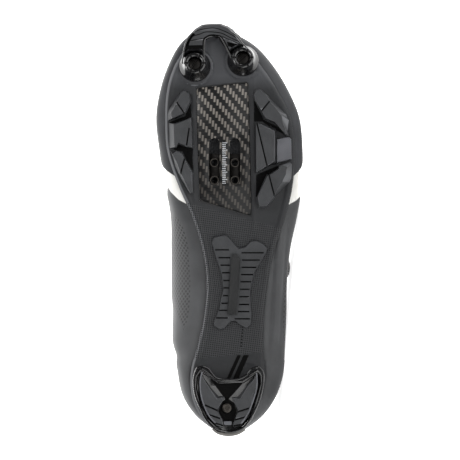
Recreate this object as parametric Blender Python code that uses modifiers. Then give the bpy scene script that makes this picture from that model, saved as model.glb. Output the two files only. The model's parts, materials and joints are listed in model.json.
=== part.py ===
# A left cycling shoe with a stiff sole, lying on its outer side as it rests on a floor.
# While it is modelled, X runs from heel to toe, Y to the outer side and Z up from the tread plane.
# Lengths are metres. Table columns hold shares: along the shoe of shoe_length, across of ball_width.

import bpy
import bmesh
from math import acos, asin, cos, pi, sin, sqrt
from mathutils import Matrix, Vector
from mathutils.bvhtree import BVHTree

# Driving dimensions of the shoe
shoe_length = 0.2800
ball_width = 0.1000
instep_height = 0.0770
collar_height = 0.0810
side_rise = 0.0270
fit_gap = 0.0003

# Upper
wall = 0.0020
collar_padding = 0.0035
lasting_margin = 0.0080
heel_undercut = 0.0030
toe_undercut = 0.0035
heel_lean = 0.0200
toe_cap_depth = 0.0225
toe_wrap_wall = 0.0019
toe_wrap_start = 0.984
throat_front = 0.1760
throat_top = 0.1080
throat_front_half_width = 0.0080
throat_top_half_width = 0.0240
guard_wall = 0.0016
guard_gap = 0.0008
guard_step_stations = (0.585, 0.630)
padding_end_stations = (0.27, 0.36)
padding_rise_shares = (0.35, 0.80)
collar_round_shares = (0.85, 1.00)
collar_rounding = 0.35
corner_blend_rows = 0.08
throat_bow_shares = (0.72, 0.35, 0.08)

# Sole
plate_thickness = 0.0035
plate_heel = 0.0010
plate_toe_inset = 0.0025
arch_rise = 0.0195
feather_inset = 0.0010
spring_station = 0.743
spring_start = spring_station * shoe_length
toe_spring = 0.0125
heel_bevel = 0.0030
heel_bevel_length = 0.0100

# Tongue and insole
tongue_thickness = 0.0045
tongue_overlap = 0.0090
tongue_ahead = 0.0120
tongue_behind = 0.0200
tongue_front = throat_front + tongue_ahead
tongue_top = throat_top - tongue_behind
tongue_gap = 0.0011
insole_thickness = 0.0040
insole_inset = 0.0012
insole_gap = 0.0005

# Cleat slots and the plate with threaded bosses above them
cleat_station = 0.6679
cleat_along = cleat_station * shoe_length
cleat_across = -0.0034
slot_spacing = 0.0140
slot_length = 0.0320
slot_width = 0.0071
window_recess = 0.0008
nut_row_spacing = 0.0120
nut_plate_back = 0.0068
nut_plate_along = cleat_along - nut_plate_back
nut_plate_length = 0.0240
nut_plate_width = 0.0240
nut_plate_thickness = 0.0014
boss_radius = 0.0030
boss_height = 0.0030
thread_radius = 0.0021

# Toe studs
stud_base_radius = 0.0107
stud_ring_radius = 0.0073
stud_height = 0.0100
stud_hole_radius = 0.0047
stud_hole_depth = 0.0060
plug_radius = 0.0043
plug_height = 0.0030
plug_slot_width = 0.0012
plug_slot_depth = 0.0012
stud_chamfer = 0.0008
stud_places = {"medial": (0.8990, -0.236), "lateral": (0.9127, 0.092)}

# Shank pad and heel
pad_height = 0.0020
pad_strip_depth = 0.0006
heel_floor = 0.0048
heel_rim_height = 0.0022
heel_rim_above = 0.0010
heel_slab_reach = 0.30
heel_screw_radius = 0.0034
heel_screw_head = 0.0022
heel_screw_place = (0.0676, -0.018)

# Lace dial, guides and lace
dial_along = 0.1246
dial_row = 1.42
dial_base_radius = 0.0125
dial_base_height = 0.0020
dial_knob_radius = 0.0105
dial_knob_height = 0.0058
dial_chamfer = 0.0006
guide_length = 0.0130
guide_width = 0.0070
guide_roof = 0.0008
guide_slot = 0.0020
guide_slot_depth = 0.0052
guide_back = 0.0045
guide_bevel = 0.0010
lace_radius = 0.0006
lace_above_upper = 0.0019
lace_above_tongue = 0.0016
lace_over = 0.0017
lace_anchor = 0.0040
lace_exit = 0.0040
lace_turn = 0.0055
lace_spread = 0.0033
guide_lift = 0.0007

# The last, by station from heel to toe: plan outline of the sole and of the upper's widest line,
# how high that line lies above the plate (share of side_rise), the ridge (its height as a share of
# instep_height and its place across) and how full the section is (power of the cosine).
last_table = [
    # station, sole_medial, sole_lateral, side_medial, side_lateral, rise_medial, rise_lateral,
    #          ridge_height, ridge_across, fullness
    (0.000, 0.000, 0.000, 0.000, 0.000, 0.52, 0.34, 1.600, 0.000, 1.20),
    (0.020, -0.146, 0.127, -0.146, 0.137, 0.52, 0.34, 1.595, 0.000, 1.20),
    (0.050, -0.212, 0.172, -0.242, 0.236, 0.52, 0.32, 1.590, 0.000, 1.22),
    (0.100, -0.262, 0.225, -0.324, 0.324, 0.52, 0.30, 1.570, 0.000, 1.27),
    (0.160, -0.264, 0.242, -0.358, 0.371, 0.54, 0.28, 1.520, -0.002, 1.32),
    (0.220, -0.220, 0.233, -0.386, 0.382, 0.66, 0.28, 1.420, -0.006, 1.35),
    (0.300, -0.174, 0.240, -0.399, 0.393, 0.88, 0.32, 1.195, -0.015, 1.28),
    (0.380, -0.160, 0.267, -0.405, 0.398, 0.97, 0.36, 1.000, -0.022, 1.12),
    (0.460, -0.189, 0.312, -0.405, 0.421, 0.90, 0.36, 0.857, -0.030, 1.02),
    (0.540, -0.257, 0.384, -0.408, 0.466, 0.70, 0.30, 0.760, -0.036, 0.95),
    (0.620, -0.352, 0.432, -0.447, 0.497, 0.48, 0.25, 0.708, -0.043, 0.90),
    (0.700, -0.424, 0.445, -0.482, 0.501, 0.33, 0.24, 0.662, -0.050, 0.86),
    (0.780, -0.441, 0.424, -0.504, 0.480, 0.27, 0.24, 0.591, -0.060, 0.83),
    (0.860, -0.426, 0.320, -0.470, 0.388, 0.27, 0.27, 0.519, -0.070, 0.80),
    (0.920, -0.374, 0.210, -0.412, 0.282, 0.29, 0.29, 0.468, -0.082, 0.80),
    (0.960, -0.305, 0.116, -0.352, 0.180, 0.30, 0.30, 0.416, -0.094, 0.80),
    (0.985, -0.255, 0.036, -0.282, 0.070, 0.30, 0.30, 0.380, -0.104, 0.80),
    (1.000, -0.110, -0.110, -0.110, -0.110, 0.30, 0.30, 0.350, -0.110, 0.80),
]

# Underside of the plate above the tread plane, as a share of arch_rise
plate_table = [
    # along, height
    (-0.02, 0.76), (0.00, 0.74), (0.08, 0.67), (0.16, 0.66), (0.24, 0.78), (0.33, 0.95),
    (0.42, 1.00), (0.52, 0.80), (0.60, 0.50), (0.66, 0.39), (0.74, 0.38), (0.84, 0.50),
    (0.92, 0.73), (1.00, 1.00), (1.03, 1.12),
]

# Collar line above the plate, as a share of collar_height
collar_table = [
    # station, height
    (0.00, 1.000), (0.02, 1.000), (0.05, 0.965), (0.10, 0.870), (0.16, 0.755), (0.22, 0.690),
    (0.30, 0.735), (0.34, 0.820), (0.38, 0.980), (0.45, 1.300), (1.00, 1.300),
]

# Upper edge of the toe guard, in rows of the upper (0 feather line, 1 widest line, 2 ridge)
guard_table = [
    # station, row
    (0.640, 0.06), (0.652, 0.52), (0.668, 0.93), (0.700, 1.12), (0.750, 1.22), (0.820, 1.34),
    (0.880, 1.44), (0.940, 1.52), (1.000, 1.58),
]

# Half width of the tongue beyond the throat's edges, as a share of tongue_overlap
tongue_table = [
    # share of the tongue from its front to its top, overlap
    (0.00, 0.10), (0.06, 0.60), (0.20, 1.00), (0.60, 1.00), (0.82, 0.80), (0.91, 0.35), (0.97, -0.50),
    (1.00, -1.40),
]

# The plate's side from its lower face up: inset from the outline, share of plate_thickness
rim_table = [
    # inset, height
    (0.0026, 0.00), (0.0010, 0.08), (0.0004, 0.30), (0.0004, 0.58), (0.0000, 0.66), (0.0000, 1.00),
]

# Outlines of the treads: along, across, and how far the ground edge slopes in (of ball_width)
lug_outlines = {
    "tread_medial_front": [
        (0.843, -0.307, 0.010), (0.836, -0.275, 0.010), (0.814, -0.261, 0.010),
        (0.783, -0.300, 0.010), (0.769, -0.384, 0.015), (0.767, -0.422, 0.045),
        (0.793, -0.416, 0.050), (0.824, -0.362, 0.025), (0.8375, -0.335, 0.015),
    ],
    "tread_medial_middle": [
        (0.758, -0.415, 0.050), (0.761, -0.374, 0.010), (0.770, -0.299, 0.010),
        (0.776, -0.258, 0.010), (0.699, -0.248, 0.010), (0.704, -0.303, 0.010),
        (0.710, -0.354, 0.010), (0.700, -0.362, 0.010), (0.700, -0.410, 0.050),
    ],
    "tread_medial_rear": [
        (0.693, -0.405, 0.030), (0.695, -0.362, 0.010), (0.691, -0.329, 0.010),
        (0.638, -0.246, 0.010), (0.588, -0.246, 0.015), (0.586, -0.262, 0.015),
        (0.6246, -0.330, 0.025), (0.656, -0.372, 0.030),
    ],
    "tread_lateral_front": [
        (0.831, 0.159, 0.010), (0.842, 0.173, 0.010), (0.845, 0.199, 0.010),
        (0.840, 0.226, 0.015), (0.820, 0.280, 0.030), (0.7825, 0.386, 0.060),
        (0.7686, 0.404, 0.060), (0.7325, 0.404, 0.050), (0.728, 0.388, 0.020),
        (0.760, 0.311, 0.010), (0.7696, 0.242, 0.010), (0.817, 0.167, 0.010),
    ],
    "tread_lateral_middle": [
        (0.764, 0.176, 0.010), (0.749, 0.316, 0.025), (0.661, 0.320, 0.025),
        (0.6535, 0.258, 0.010), (0.638, 0.179, 0.010),
    ],
    "tread_lateral_rear": [
        (0.6375, 0.272, 0.010), (0.652, 0.335, 0.010), (0.659, 0.342, 0.010),
        (0.6665, 0.410, 0.040), (0.661, 0.425, 0.060), (0.6275, 0.422, 0.060),
        (0.6175, 0.410, 0.050), (0.577, 0.303, 0.020), (0.553, 0.246, 0.020),
        (0.553, 0.196, 0.015), (0.579, 0.184, 0.010), (0.635, 0.252, 0.010),
    ],
}
platform_outline = [
    (0.722, 0.345, 0.010), (0.728, 0.402, 0.015), (0.722, 0.420, 0.020), (0.672, 0.425, 0.020),
    (0.671, 0.402, 0.010), (0.664, 0.345, 0.010),
]
platform_height = 0.0022
toe_tread_outline = [
    (0.8990, -0.331, 0.010), (0.9536, -0.311, 0.010), (0.9782, -0.274, 0.014),
    (0.9900, -0.233, 0.014), (0.9985, -0.186, 0.014), (1.0010, -0.118, 0.014),
    (1.0010, -0.063, 0.014), (0.9935, -0.003, 0.014), (0.9846, 0.031, 0.014),
    (0.9736, 0.056, 0.014), (0.9561, 0.090, 0.014), (0.9304, 0.163, 0.010), (0.9127, 0.176, 0.010),
    (0.905, 0.120, 0.010), (0.9264, 0.003, 0.010), (0.9686, -0.063, 0.010),
    (0.9761, -0.125, 0.010), (0.9636, -0.175, 0.010), (0.905, -0.180, 0.010), (0.900, -0.250, 0.010),
]
window_outline = [
    (0.8486, -0.230), (0.8625, 0.129), (0.5330, 0.153), (0.5725, -0.207),
]
arch_pad_outline = [
    (0.4725, -0.124, 0.006), (0.4836, -0.109, 0.006), (0.4893, -0.031, 0.006),
    (0.4811, 0.000, 0.006), (0.4620, 0.045, 0.006), (0.4561, 0.063, 0.006), (0.4600, 0.109, 0.006),
    (0.4739, 0.149, 0.006), (0.4750, 0.190, 0.006), (0.4668, 0.235, 0.006), (0.4561, 0.262, 0.006),
    (0.4361, 0.235, 0.006), (0.3971, 0.172, 0.006), (0.3525, 0.145, 0.006), (0.3025, 0.149, 0.006),
    (0.2718, 0.149, 0.006), (0.2593, 0.118, 0.006), (0.2661, 0.078, 0.006), (0.2775, 0.039, 0.006),
    (0.2761, 0.008, 0.006), (0.2593, -0.039, 0.006), (0.2564, -0.070, 0.006),
    (0.2661, -0.109, 0.006), (0.2746, -0.109, 0.006), (0.3079, -0.070, 0.006),
    (0.3525, -0.046, 0.006), (0.3914, -0.058, 0.006), (0.4418, -0.101, 0.006),
]
pad_strip_outline = [
    (0.4407, 0.016), (0.4407, 0.050), (0.4307, 0.074), (0.2943, 0.047), (0.2943, -0.012),
    (0.3200, -0.010),
]
heel_frame_outline = [
    (0.1657, -0.187), (0.1607, -0.224), (0.1454, -0.243), (0.1143, -0.246), (0.0771, -0.220),
    (0.0368, -0.163), (0.0136, -0.094), (0.0043, -0.076), (0.0010, -0.003), (0.0057, 0.075),
    (0.0104, 0.080), (0.0400, 0.154), (0.0786, 0.192), (0.1296, 0.227), (0.1486, 0.223),
    (0.1607, 0.197), (0.1618, 0.180), (0.1368, 0.078), (0.1354, -0.062),
]
heel_pocket_outline = [
    (0.1570, -0.198), (0.1430, -0.222), (0.1143, -0.226), (0.0790, -0.200), (0.0420, -0.146),
    (0.0215, -0.086), (0.0135, -0.050), (0.0120, 0.000), (0.0150, 0.055), (0.0225, 0.080),
    (0.0450, 0.137), (0.0810, 0.173), (0.1280, 0.206), (0.1450, 0.203), (0.1520, 0.186),
    (0.1290, 0.094), (0.1270, -0.076),
]
heel_pad_outlines = {
    "heel_pad_medial": [
        (0.1530, -0.196, 0.008), (0.1143, -0.203, 0.010), (0.0771, -0.180, 0.010),
        (0.0407, -0.132, 0.010), (0.0240, -0.090, 0.010), (0.0190, -0.045, 0.010),
        (0.0270, -0.040, 0.008), (0.0620, -0.078, 0.008), (0.0943, -0.030, 0.008),
        (0.0960, -0.072, 0.020), (0.1400, -0.176, 0.020),
    ],
    "heel_pad_lateral": [
        (0.1500, 0.180, 0.008), (0.1400, 0.165, 0.020), (0.0960, 0.060, 0.020),
        (0.0943, 0.014, 0.008), (0.0600, 0.056, 0.008), (0.0270, 0.022, 0.008),
        (0.0190, 0.030, 0.010), (0.0250, 0.078, 0.010), (0.0430, 0.122, 0.010),
        (0.0800, 0.160, 0.010), (0.1250, 0.187, 0.010),
    ],
}

# Guides of the lace: how far down the throat each one is, as a share of the throat's length
guide_along = {"medial_1": 0.2111, "lateral_2": 0.4533, "medial_2": 0.4706,
               "lateral_3": 0.7129, "medial_3": 0.7301}

# Colours are linear; densities weigh the shoe for its rest
finishes = {
    "upper": ((0.030, 0.031, 0.034), 0.50, 0.0, 700.0),
    "guard": ((0.022, 0.023, 0.026), 0.60, 0.0, 1200.0),
    "textile": ((0.020, 0.020, 0.022), 0.90, 0.0, 300.0),
    "outsole": ((0.050, 0.050, 0.054), 0.50, 0.0, 1100.0),
    "carbon": ((0.030, 0.030, 0.032), 0.30, 0.0, 1500.0),
    "tread": ((0.045, 0.045, 0.048), 0.65, 0.0, 1200.0),
    "gloss": ((0.006, 0.006, 0.007), 0.12, 0.0, 1100.0),
    "metal": ((0.120, 0.120, 0.125), 0.35, 1.0, 7850.0),
    "lace": ((0.100, 0.100, 0.105), 0.40, 1.0, 4000.0),
}

upper_length = shoe_length - toe_wrap_wall - fit_gap

# How finely the curved pieces are divided
small_step = 0.01
lower_rows = (-1.0, 0.0, 0.33, 0.67, 1.0)
upper_row_steps = 7
upper_rear_steps = 22
upper_front_steps = 14
guard_row_steps = 8
tongue_steps = 16
tongue_row_steps = 5
sole_steps = 34
slab_steps = 46
wrap_steps = 6
wrap_rows = (0.62, 0.85, 1.05, 1.20)
lace_steps = 6
stud_sides = 20
plug_sides = 16
dial_sides = 24
screw_sides = 18
hole_sides = 12
clearance_sides = 32
slot_end_steps = 8

# How far cutters reach past what they cut
cut_low = -0.0100
cut_high = 0.0500
cut_past = 0.0030


# Scene, collections and materials

for old in list(bpy.data.objects):
    bpy.data.objects.remove(old, do_unlink=True)

part_collection = bpy.data.collections.new("cycling_shoe")
cutter_collection = bpy.data.collections.new("cutters")
bpy.context.scene.collection.children.link(part_collection)
bpy.context.scene.collection.children.link(cutter_collection)
parts = []


def make_material(name, finish):
    color, roughness, metallic, density = finishes[finish]
    material = bpy.data.materials.new(name)
    material.use_nodes = True
    shader = material.node_tree.nodes["Principled BSDF"]
    shader.inputs["Base Color"].default_value = (*color, 1.0)
    shader.inputs["Roughness"].default_value = roughness
    shader.inputs["Metallic"].default_value = metallic
    material["density"] = density
    return material


def object_from_bmesh(name, mesh_data, collection):
    bmesh.ops.recalc_face_normals(mesh_data, faces=mesh_data.faces)
    if mesh_data.calc_volume(signed=True) < 0:
        bmesh.ops.reverse_faces(mesh_data, faces=mesh_data.faces)
    mesh = bpy.data.meshes.new(name)
    mesh_data.to_mesh(mesh)
    mesh_data.free()
    obj = bpy.data.objects.new(name, mesh)
    collection.objects.link(obj)
    return obj


def add_part(obj, finish, smooth=True):
    obj.data.materials.clear()
    obj.data.materials.append(make_material(obj.name, finish))
    if smooth and obj.type == "MESH":
        obj.data.shade_smooth()
        obj.data.set_sharp_from_angle(angle=0.7)
    parts.append(obj)
    return obj


def hide_cutter(obj):
    obj.hide_render = True
    obj.display_type = "WIRE"
    return obj


def boolean(obj, cutter, operation):
    modifier = obj.modifiers.new(operation.lower(), "BOOLEAN")
    modifier.operation = operation
    modifier.solver = "EXACT"
    modifier.object = cutter


# Smooth functions through the tables

def slopes_of(knots, values):
    count = len(knots)
    steps = [knots[i + 1] - knots[i] for i in range(count - 1)]
    grades = [(values[i + 1] - values[i]) / steps[i] for i in range(count - 1)]
    slopes = [grades[0]]
    for i in range(1, count - 1):
        slopes.append((grades[i - 1] * steps[i] + grades[i] * steps[i - 1]) / (steps[i - 1] + steps[i]))
    slopes.append(grades[-1])
    return slopes


def curve_through(knots, values):
    slopes = slopes_of(knots, values)

    def value_at(x):
        x = min(max(x, knots[0]), knots[-1])
        i = 0
        while i < len(knots) - 2 and x > knots[i + 1]:
            i += 1
        span = knots[i + 1] - knots[i]
        t = (x - knots[i]) / span
        rise = values[i] * (2 * t**3 - 3 * t**2 + 1) + values[i + 1] * (3 * t**2 - 2 * t**3)
        return rise + span * (slopes[i] * (t**3 - 2 * t**2 + t) + slopes[i + 1] * (t**3 - t**2))

    return value_at


def angle_of(station):
    return acos(1 - 2 * min(max(station, 0.0), 1.0))


def station_of(angle):
    return (1 - cos(angle)) / 2


def station_column(table, column):
    return curve_through([angle_of(row[0]) for row in table], [row[column] for row in table])


def ease(value, low, high):
    t = min(max((value - low) / (high - low), 0.0), 1.0)
    return t * t * (3 - 2 * t)


sole_across = {-1: station_column(last_table, 1), 1: station_column(last_table, 2)}
side_across = {-1: station_column(last_table, 3), 1: station_column(last_table, 4)}
side_height = {-1: station_column(last_table, 5), 1: station_column(last_table, 6)}
ridge_height = station_column(last_table, 7)
ridge_across = station_column(last_table, 8)
fullness = station_column(last_table, 9)
collar_line = station_column(collar_table, 1)
guard_edge = station_column(guard_table, 1)
plate_height = curve_through([row[0] for row in plate_table], [row[1] for row in plate_table])
tongue_reach = curve_through([row[0] for row in tongue_table], [row[1] for row in tongue_table])
guard_start = guard_table[0][0]


# Heights along the shoe

def plate_bottom(x):
    return arch_rise * plate_height(x / shoe_length)


def plate_top(x):
    return plate_bottom(x) + plate_thickness


def ground(x):
    spring = max(0.0, (x - spring_start) / (shoe_length - spring_start))
    bevel = max(0.0, 1 - x / heel_bevel_length)
    return toe_spring * spring**2 + heel_bevel * bevel**2


# Plan rings. A signed angle runs round each: -pi and pi at the toe, 0 at the heel, outer side positive.

ring_ends = {
    "plate": (plate_heel, upper_length - plate_toe_inset),
    "feather": (heel_undercut, upper_length - toe_undercut),
    "side": (0.0, upper_length),
}
ridge_ends = (heel_lean, upper_length - toe_cap_depth)


def ring_point(ring, angle):
    if angle > pi:
        angle -= 2 * pi
    if angle < -pi:
        angle += 2 * pi
    side = 1 if angle >= 0 else -1
    theta = abs(angle)
    heel, toe = ring_ends[ring]
    across = side_across if ring == "side" else sole_across
    return Vector((heel + (toe - heel) * station_of(theta), ball_width * across[side](theta)))


def ring_offset(ring, angle, out):
    along = ring_point(ring, angle + small_step) - ring_point(ring, angle - small_step)
    outward = Vector((-along.y, along.x)).normalized()
    return ring_point(ring, angle) + outward * out


def ridge_point(theta):
    heel, toe = ridge_ends
    x = heel + (toe - heel) * station_of(theta)
    return Vector((x, ball_width * ridge_across(theta), plate_top(x) + instep_height * ridge_height(theta)))


def foot_point(angle, row):
    centre = 0.5 * (ring_point("feather", angle) + ring_point("feather", -angle))
    edge = ring_offset("feather", angle, -feather_inset)
    if row >= 0:
        return edge
    inner = ring_offset("feather", angle, -feather_inset - lasting_margin)
    reach = (edge - centre).length
    if reach < 2 * lasting_margin and abs(angle) > 0.02 and abs(angle) < pi - 0.02:
        inner = edge.lerp(centre, 0.5)
    return edge.lerp(inner, -row)


def upper_point(angle, row, out):
    theta = abs(angle)
    side = 1 if angle >= 0 else -1
    foot = foot_point(angle, row)
    foot_height = plate_top(foot.x) + fit_gap - out
    if row <= 0:
        return Vector((foot.x, foot.y, foot_height))
    wide = ring_offset("side", angle, out)
    wide_height = plate_top(wide.x) + side_rise * side_height[side](theta)
    if row <= 1:
        turn = row * pi / 2
        flat = foot.lerp(wide, sin(turn))
        return Vector((flat.x, flat.y, wide_height + (foot_height - wide_height) * cos(turn)))
    turn = (row - 1) * pi / 2
    ridge = ridge_point(theta)
    lean = max(cos(turn), 0.0) ** fullness(theta)
    flat = ridge.xy.lerp(wide, lean)
    return Vector((flat.x, flat.y, wide_height + (ridge.z + out - wide_height) * sin(turn)))


# Where the upper ends: the collar by its height, the throat by its half width

def throat_half_width(x):
    curve_start = throat_front - throat_front_half_width
    if x >= throat_front:
        return 0.0
    if x > curve_start:
        return throat_front_half_width * sqrt(1 - ((x - curve_start) / throat_front_half_width) ** 2)
    grade = (throat_top_half_width - throat_front_half_width) / (curve_start - throat_top)
    return min(throat_front_half_width + grade * (curve_start - x), throat_top_half_width)


def throat_angle(along, shift=0.0):
    # Angle of the place that is this share of the way down the throat
    x = throat_top + along * (throat_front - throat_top) + shift
    heel, toe = ridge_ends
    return angle_of((x - heel) / (toe - heel))


def row_at_half_width(angle, half_width):
    theta = abs(angle)
    reach = abs(ring_point("side", angle).y - ridge_point(theta).y)
    if reach <= half_width:
        return 1.0
    return 1 + acos((half_width / reach) ** (1 / fullness(theta))) * 2 / pi


def edge_row(angle):
    theta = abs(angle)
    side = 1 if angle >= 0 else -1
    ridge = ridge_point(theta)
    if ridge.x >= throat_front - 1e-7:
        return 2.0
    wide = ring_point("side", angle)
    wide_height = plate_top(wide.x) + side_rise * side_height[side](theta)
    collar = plate_top(wide.x) + collar_height * collar_line(theta)
    share = min((collar - wide_height) / (ridge.z - wide_height), 1.0)
    by_collar = 1 + asin(share) * 2 / pi
    if ridge.x < throat_top / 2:
        return by_collar
    by_throat = row_at_half_width(angle, throat_half_width(ridge.x))
    apart = max(corner_blend_rows - abs(by_collar - by_throat), 0.0) / corner_blend_rows
    return min(by_collar, by_throat) - corner_blend_rows * apart**2 / 4


def guard_step(theta):
    return (guard_wall + guard_gap) * ease(station_of(theta), *guard_step_stations)


def wall_at(angle, row):
    theta = abs(angle)
    reach = min(max((row - 1) / (edge_row(angle) - 1), 0.0), 1.0)
    padded = collar_padding * (1 - ease(station_of(theta), *padding_end_stations))
    rounded = 1 - collar_rounding * ease(reach, *collar_round_shares)
    return wall + padded * ease(reach, *padding_rise_shares) * rounded


# Shells between two surfaces of the upper's function

def shell(name, angles, rows_at, outer_out, inner_out, ridge_joined):
    mesh_data = bmesh.new()
    grids = []
    for out_at in (outer_out, inner_out):
        grid = {}
        for side in (-1, 1):
            for i, theta in enumerate(angles):
                angle = side * theta
                rows = rows_at(angle)
                for j, row in enumerate(rows):
                    middle = theta < 1e-6 or theta > pi - 1e-6
                    middle = middle or (j == len(rows) - 1 and ridge_joined(theta))
                    key = (i, j, 0 if middle else side)
                    if key not in grid:
                        grid[key] = mesh_data.verts.new(upper_point(angle, row, out_at(angle, row)))
                    grid[(i, j, side, "at")] = key
        grids.append(grid)
    row_total = len(rows_at(angles[0]))
    outer_of = {}
    for layer, grid in enumerate(grids):
        for side in (-1, 1):
            for i in range(len(angles) - 1):
                for j in range(row_total - 1):
                    corners = ((i, j), (i + 1, j), (i + 1, j + 1), (i, j + 1))
                    verts = [grid[grid[(*corner, side, "at")]] for corner in corners]
                    if (side == 1) == (layer == 0):
                        verts.reverse()
                    mesh_data.faces.new(verts)
    for key, vert in grids[0].items():
        if len(key) == 3:
            outer_of[vert] = grids[1][key]
    rim = [edge for edge in mesh_data.edges if edge.is_boundary and edge.verts[0] in outer_of]
    for edge in rim:
        a, b = edge.verts
        mesh_data.faces.new((a, b, outer_of[b], outer_of[a]))
    return object_from_bmesh(name, mesh_data, part_collection)


def angles_of_upper():
    heel, toe = ridge_ends
    front = angle_of((throat_front - heel) / (toe - heel))
    angles = [front * i / upper_rear_steps for i in range(upper_rear_steps)]
    for back in throat_bow_shares:
        x = throat_front - throat_front_half_width * back
        angles.append(angle_of((x - heel) / (toe - heel)))
    steps = upper_front_steps
    angles += [front + (pi - front) * i / steps for i in range(steps + 1)]
    return sorted(angles)


upper_angles = angles_of_upper()


def upper_rows(angle):
    edge = edge_row(angle)
    steps = upper_row_steps
    return list(lower_rows) + [1 + (edge - 1) * j / steps for j in range(1, steps + 1)]


def make_upper():
    def outer(angle, row):
        return -guard_step(abs(angle))

    def inner(angle, row):
        return -guard_step(abs(angle)) - wall_at(angle, row)

    def joined(theta):
        return edge_row(theta) >= 2.0

    return add_part(shell("upper", upper_angles, upper_rows, outer, inner, joined), "upper")


def make_toe_guard():
    start = angle_of(guard_start)
    angles = [start] + [theta for theta in upper_angles if theta > start + 0.02]

    def rows_at(angle):
        top = guard_edge(abs(angle))
        return [-1.0] + [top * j / guard_row_steps for j in range(guard_row_steps + 1)]

    guard = shell("toe_guard", angles, rows_at, lambda a, r: 0.0, lambda a, r: -guard_wall, lambda t: False)
    return add_part(guard, "guard")


def make_tongue():
    heel, toe = ridge_ends
    low = angle_of((tongue_top - heel) / (toe - heel))
    high = angle_of((tongue_front - heel) / (toe - heel))
    angles = [low + (high - low) * i / tongue_steps for i in range(tongue_steps + 1)]

    def half_width(theta):
        x = ridge_point(theta).x
        share = (tongue_front - x) / (tongue_front - tongue_top)
        return throat_half_width(x) + tongue_overlap * tongue_reach(share)

    def rows_at(angle):
        edge = row_at_half_width(angle, half_width(abs(angle)))
        return [edge + (2 - edge) * j / tongue_row_steps for j in range(tongue_row_steps + 1)]

    def outer(angle, row):
        return -guard_step(abs(angle)) - wall_at(angle, min(row, 1.98)) - tongue_gap

    def inner(angle, row):
        return outer(angle, row) - tongue_thickness

    return add_part(shell("tongue", angles, rows_at, outer, inner, lambda t: True), "textile")


# Flat pieces that follow the sole: closed rings at several insets, capped across

def ring_solid(name, angles, ring, levels, collection):
    mesh_data = bmesh.new()
    loops = []
    signed = [-theta for theta in angles] + [theta for theta in reversed(angles)][1:-1]
    for inset, height in levels:
        loop = []
        for angle in signed:
            flat = ring_offset(ring, angle, -inset)
            loop.append(mesh_data.verts.new((flat.x, flat.y, height(flat.x))))
        loops.append(loop)
    total = len(signed)
    for low, high in zip(loops, loops[1:]):
        for i in range(total):
            j = (i + 1) % total
            mesh_data.faces.new((low[i], low[j], high[j], high[i]))
    last = len(angles) - 1
    for loop in (loops[0], loops[-1]):
        for i in range(last):
            inner = [loop[i], loop[i + 1]]
            outer = [loop[-(i + 1)] if i + 1 < last else None, loop[-i] if i > 0 else None]
            mesh_data.faces.new([vert for vert in inner + outer if vert is not None])
    return object_from_bmesh(name, mesh_data, collection)


sole_angles = [pi * i / sole_steps for i in range(sole_steps + 1)]


def make_outsole(window_cutter):
    levels = []
    for inset, share in rim_table:
        levels.append((inset, lambda x, share=share: plate_bottom(x) + plate_thickness * share))
    outsole = ring_solid("outsole", sole_angles, "plate", levels, part_collection)
    boolean(outsole, window_cutter, "DIFFERENCE")
    return add_part(outsole, "outsole")


def insole_floor(x):
    heel, toe = ring_ends["feather"]
    share = (x - heel) / (toe - heel)
    return plate_top(x) + fit_gap + insole_gap + wall + guard_step(angle_of(share))


def make_insole():
    levels = [
        (insole_inset + 0.0012, insole_floor),
        (insole_inset, lambda x: insole_floor(x) + 0.3 * insole_thickness),
        (insole_inset, lambda x: insole_floor(x) + 0.75 * insole_thickness),
        (insole_inset + 0.0012, lambda x: insole_floor(x) + insole_thickness),
    ]
    levels = [(inset + feather_inset, height) for inset, height in levels]
    return add_part(ring_solid("insole", sole_angles, "feather", levels, part_collection), "textile")


# Outlines in plan, slabs that follow the sole, and the treads cut from them

def plan_points(outline):
    return [Vector((row[0] * shoe_length, row[1] * ball_width)) for row in outline]


def inset_points(points, distance):
    area = sum(a.x * b.y - b.x * a.y for a, b in zip(points, points[1:] + points[:1]))
    turn = 1 if area > 0 else -1
    result = []
    for i, point in enumerate(points):
        before = (point - points[i - 1]).normalized()
        after = (points[(i + 1) % len(points)] - point).normalized()
        inward_before = Vector((-before.y, before.x)) * turn
        inward_after = Vector((-after.y, after.x)) * turn
        half = (inward_before + inward_after).normalized()
        result.append(point + half * distance / max(half.dot(inward_before), 0.45))
    return result


def slab(name, low, high, reach=1.03):
    mesh_data = bmesh.new()
    start, end = -0.03 * shoe_length, reach * shoe_length
    count = int(slab_steps * reach)
    rows = []
    for i in range(count + 1):
        x = start + (end - start) * i / count
        corners = ((-ball_width, low), (ball_width, low), (ball_width, high), (-ball_width, high))
        rows.append([mesh_data.verts.new((x, y, height(x))) for y, height in corners])
    for a, b in zip(rows, rows[1:]):
        for k in range(4):
            mesh_data.faces.new((a[k], a[(k + 1) % 4], b[(k + 1) % 4], b[k]))
    mesh_data.faces.new(rows[0])
    mesh_data.faces.new(rows[-1])
    return hide_cutter(object_from_bmesh(name, mesh_data, cutter_collection))


def prism(name, base, top, collection):
    mesh_data = bmesh.new()
    lower = [mesh_data.verts.new(point) for point in base]
    upper = [mesh_data.verts.new(point) for point in top]
    total = len(lower)
    for i in range(total):
        j = (i + 1) % total
        mesh_data.faces.new((lower[i], lower[j], upper[j], upper[i]))
    mesh_data.faces.new(lower)
    mesh_data.faces.new(upper)
    bmesh.ops.triangulate(mesh_data, faces=[face for face in mesh_data.faces if len(face.verts) > 4])
    return object_from_bmesh(name, mesh_data, collection)


def straight_prism(name, points, low, high, collection=None):
    base = [(point.x, point.y, low) for point in points]
    top = [(point.x, point.y, high) for point in points]
    obj = prism(name, base, top, collection or cutter_collection)
    return obj if collection else hide_cutter(obj)


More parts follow.
